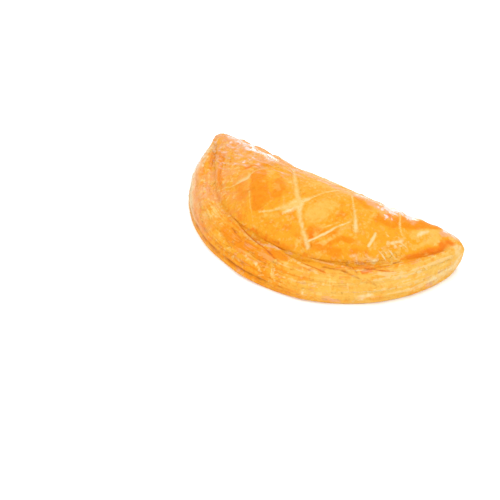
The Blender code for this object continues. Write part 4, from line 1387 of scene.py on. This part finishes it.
@dataclass(frozen=True)
class BakedCrust:
    """Egg-washed puff pastry: golden, browned in patches, pale where it split or was cut."""

    name: str = "baked_crust"
    specular: float = 0.06
    coat_roughness: float = 0.20
    coat_index: float = 1.55
    roughness: float = 0.50
    relief: float = 0.0006
    relief_strength: float = 0.9
    # Middle and reach along X of what is browner on the rim, and at the foot of its wall.
    browned_rim: Pair = (0.008, 0.026)
    browned_foot: Pair = (0.014, 0.034)
    # Ranges over which a colour comes in or goes, along X unless the name says another way.
    warm_left: Pair = (-0.040, 0.030)
    rosy_sheen_left: Pair = (-0.055, -0.015)
    pale_right: Pair = (0.000, 0.040)
    foot_z: Pair = (0.0020, 0.0090)
    left_wall: Pair = (-0.060, -0.030)
    left_wall_y: Pair = (0.020, 0.034)
    left_wall_z: Pair = (0.003, 0.007)
    cream_left: Pair = (-0.059, -0.050)
    highlight_left: Pair = (-0.076, -0.066)
    highlight_left_y: Pair = (0.008, 0.020)
    leafy_right: Pair = (0.010, 0.040)
    flaky_right: Pair = (0.02, 0.03)
    faint_veins_right: Pair = (0.025, 0.055)
    faint_splits_left: Pair = (-0.050, -0.020)
    faint_lines_left: Pair = (-0.055, -0.030)
    shoulder_end_depth: Pair = (0.6, 0.7)

    def brown(self, paint: CrustPaint) -> None:
        """Brown the golden ground: warmer in patches, paler to the right, with a painted rosy sheen to the
        left.

        Args:
            paint: the crust's material.
        """
        x, z, on_rim, mottle, small_dabs = paint.x, paint.z, paint.on_rim, paint.mottle, paint.small_dabs
        grain = mottle * 0.55 + paint.broad * 0.55 + paint.dabs * 0.35 + small_dabs * 0.25
        flow = paint.layers * 0.9 + paint.thin_layers * 0.6 + paint.broad * 0.5
        flow = flow + paint.dabs * 0.35 + small_dabs * 0.2
        middle, reach = self.browned_rim
        front = on_rim * (x - middle).bell(reach) * 0.50
        warm = grain + (flow - grain) * on_rim + x.falling(*self.warm_left) * 0.35 - 0.10 + front
        paler = paint.ragged_depth.rising(0.66, 0.76) * (0.1 + x.rising(*self.pale_right) * 0.8)
        paint.coat(paler, Tone.STRAW)
        paint.coat(warm.rising(0.1, 1.0) * (0.9 - paler * 0.3), Tone.ORANGE)
        paint.coat(warm.falling(-1.1, -0.2) * 0.8, Tone.BUTTER)
        # Painted rosy sheen towards the left end.
        left = x.falling(*self.rosy_sheen_left)
        paint.coat(left * (grain * 0.8 + 0.5).clamped() * 0.5, Tone.ROSE_AND_SHEEN)
        lively = 0.42 + (left + on_rim).clamped() * 0.36
        paint.coat(paint.fleck.rising(0.25, 0.9) * lively, Tone.BUTTER)
        paint.coat(paint.fleck.falling(-0.9, -0.25) * lively * (1.0 - paler * 0.5), Tone.ORANGE)
        blotch = paint.bench.cloud(paint.here, (170.0, 170.0, 300.0), 3.0, 0.4, (8.0, 1.0, 4.0))
        paint.coat((blotch + small_dabs * 0.5).rising(0.15, 0.7) * paler * 0.6, Tone.GOLD)
        middle, reach = self.browned_foot
        foot = z.falling(*self.foot_z) * (x - middle).bell(reach) * (0.7 + mottle * 0.5)
        paint.coat((foot * 0.6).clamped(), Tone.ORANGE)

    def wash(self, paint: CrustPaint) -> None:
        """Lay the marked colours, a painted rosy sheen among them, olive glints, and the pale left end with a
        painted highlight.

        Args:
            paint: the crust's material.
        """
        x, y, z = paint.x, paint.y, paint.z
        # The rosy wash among these is partly a painted sheen.
        washes = {"straw": Tone.STRAW, "orange": Tone.ORANGE, "rose": Tone.ROSE_AND_SHEEN, "cream": Tone.CREAM}
        for name, tone in washes.items():
            mask = (paint.stored(name) * 1.3 + paint.torn_edge * 1.3).rising(0.2, 0.9)
            paint.coat(mask * (paint.fleck * 0.28 + 0.82).clamped(), tone)
        olive = (paint.small_dabs * 0.7 + paint.layers * 0.6 + paint.mottle * 0.2).rising(0.7, 1.1)
        paint.coat(olive * (0.3 + paint.on_rim * 0.7) * 0.8, Tone.OLIVE)
        left_wall = x.falling(*self.left_wall) * z.rising(*self.left_wall_z) * y.falling(*self.left_wall_y)
        torn_depth = paint.ragged_depth + paint.torn_edge * 0.06
        paint.coat(torn_depth.rising(0.62, 0.72) * left_wall * 0.55, Tone.ROSE_AND_SHEEN)
        outer = torn_depth.rising(0.70, 0.80) * left_wall * x.falling(*self.cream_left)
        paint.coat(outer * 0.85, Tone.CREAM)
        # Painted highlight on the outer band of the left end.
        paint.coat(outer * x.falling(*self.highlight_left) * y.falling(*self.highlight_left_y) * 0.6, Tone.BLUSH_HIGHLIGHT)

    def open_up(self, paint: CrustPaint) -> None:
        """Show pale dough in the scores, and toast the marked edges.

        Args:
            paint: the crust's material.
        """
        share = paint.stored("opened") + paint.torn_edge
        paint.coat(share.rising(0.1, 0.8) * 0.6, Tone.BUTTER)
        paint.coat(share.rising(0.6, 1.15) * 0.8, Tone.CREAM)
        toast = (paint.stored("toast") * 1.4 + paint.torn_edge * 1.3).rising(0.1, 1.1)
        paint.coat(toast * 0.9, Tone.AMBER)

    def layer(self, paint: CrustPaint) -> None:
        """Draw the rim's leaves: pale edges, rosy runs partly painted as sheen, dark lines between them, and
        painted shade and light at each slide step.

        Args:
            paint: the crust's material.
        """
        bench, x, on_rim, torn_edge = paint.bench, paint.x, paint.on_rim, paint.torn_edge
        flaky, slid = paint.stored("flaky"), paint.stored("slid")
        leafy = bench.cloud(paint.ring, (30.0, 30.0, 520.0), 2.0, 0.3, (5.0, 1.0, 3.0))
        # Painted light on the crown below each slide step.
        leafy = leafy + paint.small_dabs * 0.35 + paint.stored("lip") * 0.7
        leafy = leafy.rising(0.35, 0.8) * on_rim
        paint.coat(leafy * (0.2 + x.rising(*self.leafy_right) * 0.25), Tone.CREAM)
        runs = bench.cloud(paint.ring, (620.0, 620.0, 120.0), 2.0, 0.3, (1.0, 7.0, 2.0)).rising(0.35, 0.8)
        paint.coat(runs * (flaky * x.rising(*self.flaky_right) * 1.4).clamped() * 0.8, Tone.CREAM)
        # Rosy runs on the rim, partly a painted sheen.
        blushing = (paint.thin_layers * 0.7 + paint.dabs * 0.6).rising(0.5, 0.9)
        paint.coat(blushing * (on_rim + paint.stored("rose")).clamped() * 0.4, Tone.ROSE_AND_SHEEN)
        veins = bench.cloud(paint.ring, (26.0, 26.0, 330.0), 2.0, 0.4, (9.0, 4.0, 2.0)).bell(0.07)
        veins = veins * (paint.mottle + paint.dabs).rising(-0.3, 0.4) * on_rim * (0.6 + flaky * 0.6)
        veins = veins * (1.0 - x.rising(*self.faint_veins_right) * 0.55)
        parted = paint.stored("split") * (0.45 - x.falling(*self.faint_splits_left) * 0.25)
        lines = parted.most(paint.stored("crack")).most(paint.stored("seam") * 0.9)
        # Painted shade on the line above each slide step, here and in the dark lines below.
        paint.coat((slid + torn_edge * 1.2).rising(0.25, 0.95) * 0.8, Tone.AMBER)
        lines = (lines.most(slid * 0.6) + torn_edge * 1.2).rising(0.3, 0.95).most(veins)
        paint.coat(lines * (0.75 - x.falling(*self.faint_lines_left) * 0.30), Tone.TOAST_AND_SHADE)

    def glint(self, paint: CrustPaint) -> None:
        """Paint highlights, streaked on the left shoulder and as glints where the glaze shines, and speck the
        whole.

        Args:
            paint: the crust's material.
        """
        bench, glossy = paint.bench, paint.stored("glossy")
        highlight_streaks = bench.cloud(paint.here, (85.0, 520.0, 520.0), 3.0, 0.3, (3.0, 7.0, 1.0))
        shoulder = paint.x.falling(*SHOULDER_X) * paint.y.rising(*SHOULDER_Y)
        shoulder = shoulder * paint.depth.falling(*self.shoulder_end_depth)
        # Painted highlight, streaked along the left shoulder.
        paint.coat(highlight_streaks.rising(-0.2, 0.5) * shoulder * 0.6, Tone.ROSE_AND_SHEEN)
        paint.coat(highlight_streaks.rising(0.3, 0.9) * shoulder * 0.5, Tone.BLUSH_HIGHLIGHT)
        # Painted highlight glints where the glaze shines.
        glints = (glossy * 1.2 + highlight_streaks * 0.7 + paint.small_dabs * 0.4).rising(0.65, 1.15)
        paint.coat(glints * glossy.rising(0.0, 0.2) * 0.9, Tone.BLUSH_HIGHLIGHT)
        specks = bench.cloud(paint.here, 760.0, 2.0, 0.2, (9.0, 2.0, 1.0)).rising(0.62, 1.0)
        paint.coat(specks * (paint.stored("flaky").rising(0.0, 0.5) * 0.8 + 0.2) * 0.45, Tone.SPECK)

    def material(self) -> bpy.types.Material:
        """Make the finish.

        Returns:
            The finished material.
        """
        constants = {"Specular IOR Level": self.specular, "Coat Roughness": self.coat_roughness}
        paint = CrustPaint(self.name, constants | {"Coat IOR": self.coat_index})
        for lay in (self.brown, self.wash, self.open_up, self.layer, self.glint):
            lay(paint)
        paint.feed("Base Color", paint.colour)
        bench, place = paint.bench, paint.here
        mottle = bench.cloud(place, 240.0, 3.0, 0.4, (3.0, 8.0, 2.0))
        grain = bench.cloud(place, 900.0, 4.0, 0.0, (6.0, 2.0, 8.0))
        streak = bench.cloud(place, (160.0, 520.0, 520.0), 3.0, 0.6, (1.0, 1.0, 6.0))
        dull = paint.stored("opened").most(paint.stored("flaky") * 0.6)
        paint.feed("Roughness", (self.roughness + mottle * 0.07 + dull * 0.25).clamped())
        glancing = bench.add("ShaderNodeLayerWeight", None, {"Blend": 0.5}, "Facing").rising(0.45, 1.0)
        glaze = (paint.stored("glossy") * 1.3 + mottle * 0.25).rising(0.1, 0.8) * 0.95 + 0.02
        glaze = glaze.most(glancing * (mottle * 0.15 + 0.4))
        paint.feed("Coat Weight", (glaze * (1.0 - dull * 0.8)).clamped())
        paint.emboss(mottle * 0.35 + grain * 0.16 + streak * 0.22, self.relief, self.relief_strength)
        return paint.data


@dataclass(frozen=True)
class LooseLeaf:
    """Finish of the loose flakes: dry leaf, pale to toasted from one flake to the next."""

    name: str = "loose_leaf"
    specular: float = 0.2
    roughness: float = 0.62
    relief: float = 0.0002
    relief_strength: float = 0.5

    def material(self) -> bpy.types.Material:
        """Make the finish.

        Returns:
            The finished material.
        """
        paint = Material(self.name, {"Specular IOR Level": self.specular})
        bench, place = paint.bench, paint.place()
        fine = bench.cloud(place, 900.0, 3.0)
        patch = bench.cloud(place, 210.0, 1.0, 0.0, (5.0, 5.0, 5.0)) + fine * 0.3
        colour = bench.mix(patch.rising(-0.3, 0.7), Tone.STRAW.albedo, Tone.GOLD.albedo)
        colour = bench.mix(patch.rising(0.9, 1.5) * 0.8, colour, Tone.TOAST_AND_SHADE.albedo)
        paint.feed("Base Color", colour)
        paint.feed("Roughness", (self.roughness + fine * 0.06).clamped())
        paint.emboss(fine, self.relief, self.relief_strength)
        return paint.data


@dataclass(frozen=True)
class PaleFloor:
    """Finish of the floor: matt white board with the faintest grain."""

    name: str = "pale_floor"
    specular: float = 0.1
    white: float = 0.93
    grain_depth: float = 0.02
    roughness: float = 0.8

    def material(self) -> bpy.types.Material:
        """Make the finish.

        Returns:
            The finished material.
        """
        paint = Material(self.name, {"Specular IOR Level": self.specular})
        bench = paint.bench
        grain = bench.cloud(paint.place(), 40.0, 4.0).rising(-1.5, 1.5)
        greys = [(value, value, value, 1.0) for value in (self.white - self.grain_depth, self.white)]
        paint.feed("Base Color", bench.mix(grain, greys[0], greys[1]))
        paint.feed("Roughness", self.roughness + grain * 0.1)
        return paint.data


@dataclass(frozen=True)
class Softbox:
    """A square light that looks at the pastry, placed in degrees and metres, with its power in watts."""

    name: str
    azimuth: float
    elevation: float
    reach: float
    size: float
    power: float


@dataclass(frozen=True)
class Studio:
    """Plain floor, soft light and the camera at the picture's angle."""

    floor_reach: float = 6.0
    sky: float = 1.25
    azimuth: float = 36.48
    elevation: float = 42.0
    distance: float = 0.61891
    lens: float = 85.0
    aim: Triple = (-0.01592, -0.01874, 0.0)
    aim_lift: float = 0.0004
    nearest_seen: float = 0.01
    softboxes: tuple[Softbox, ...] = (
        Softbox("key", 320.0, 58.0, 1.2, 0.9, 5.0),
        Softbox("back", 200.0, 32.0, 1.0, 0.35, 3.8),
        Softbox("fill", 40.0, 22.0, 1.5, 1.2, 8.5),
        Softbox("side", 100.0, 25.0, 1.2, 0.8, 1.5),
    )

    @staticmethod
    def axes(azimuth: float, elevation: float) -> Matrix:
        """Columns that point right, up and back for a thing that looks at the pastry.

        Args:
            azimuth: degrees round the object, 0 in front and 90 on the +X side.
            elevation: degrees above the horizon.

        Returns:
            A 3 by 3 matrix.
        """
        turn, rise = math.radians(azimuth), math.radians(elevation)
        back = Vector((math.sin(turn) * math.cos(rise), -math.cos(turn) * math.cos(rise), math.sin(rise)))
        right = Vector((math.cos(turn), math.sin(turn), 0.0))
        return Matrix((right, back.cross(right), back)).transposed()

    def floor(self) -> None:
        """Lay a wide board under the pastry."""
        reach = self.floor_reach
        corners = [(-reach, -reach, 0.0), (reach, -reach, 0.0), (reach, reach, 0.0), (-reach, reach, 0.0)]
        mesh = bpy.data.meshes.new("floor")
        mesh.from_pydata(corners, [], [(0, 1, 2, 3)])
        mesh.materials.append(PaleFloor().material())
        floor = new_object("floor", mesh)

    def hang(self, softbox: Softbox) -> None:
        """Hang a light.

        Args:
            softbox: which one.
        """
        light = bpy.data.lights.new(softbox.name, "AREA")
        light.size = softbox.size
        light.energy = softbox.power
        axes = self.axes(softbox.azimuth, softbox.elevation)
        place = Matrix.Translation(axes.col[2] * softbox.reach)
        new_object(softbox.name, light).matrix_world = place @ axes.to_4x4()

    def camera(self) -> None:
        """Stand the camera where the picture was taken from."""
        lens = bpy.data.cameras.new("camera")
        lens.lens = self.lens
        lens.clip_start = self.nearest_seen
        axes = self.axes(self.azimuth, self.elevation)
        place = Vector(self.aim) + axes.col[1] * self.aim_lift + axes.col[2] * self.distance
        camera = new_object("camera", lens)
        camera.matrix_world = Matrix.Translation(place) @ axes.to_4x4()
        bpy.context.scene.camera = camera

    def build(self) -> None:
        """Set up the floor, the light and the camera."""
        world = bpy.data.worlds.new("studio")
        world.use_nodes = True
        sky = world.node_tree.nodes["Background"]
        sky.inputs["Color"].default_value = (1.0, 1.0, 1.0, 1.0)
        sky.inputs["Strength"].default_value = self.sky
        scene = bpy.context.scene
        scene.world = world
        scene.view_settings.view_transform = "Standard"
        self.floor()
        for softbox in self.softboxes:
            self.hang(softbox)
        self.camera()


@dataclass(frozen=True)
class Empanada:
    """The whole turnover: its crust, and the flakes that cling to it."""

    crust: Crust = Crust()
    flakes: Flakes = Flakes()

    def build(self) -> None:
        """Build both pieces, dress them and say how many triangles each has."""
        crust = self.crust.build(BakedCrust().material())
        flakes = self.flakes.build(crust, LooseLeaf().material())
        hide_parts(NODE)
        for piece in (crust, flakes):
            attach(piece, BODY)
            piece.data.calc_loop_triangles()
            log.info("%s: %d triangles", piece.name, len(piece.data.loop_triangles))


def main() -> None:
    """Build the pastry and its studio."""
    logging.basicConfig(level=logging.INFO, format="%(name)s: %(message)s")
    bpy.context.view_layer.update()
    Empanada().build()
    Studio().build()


if __name__ == "__main__":
    main()
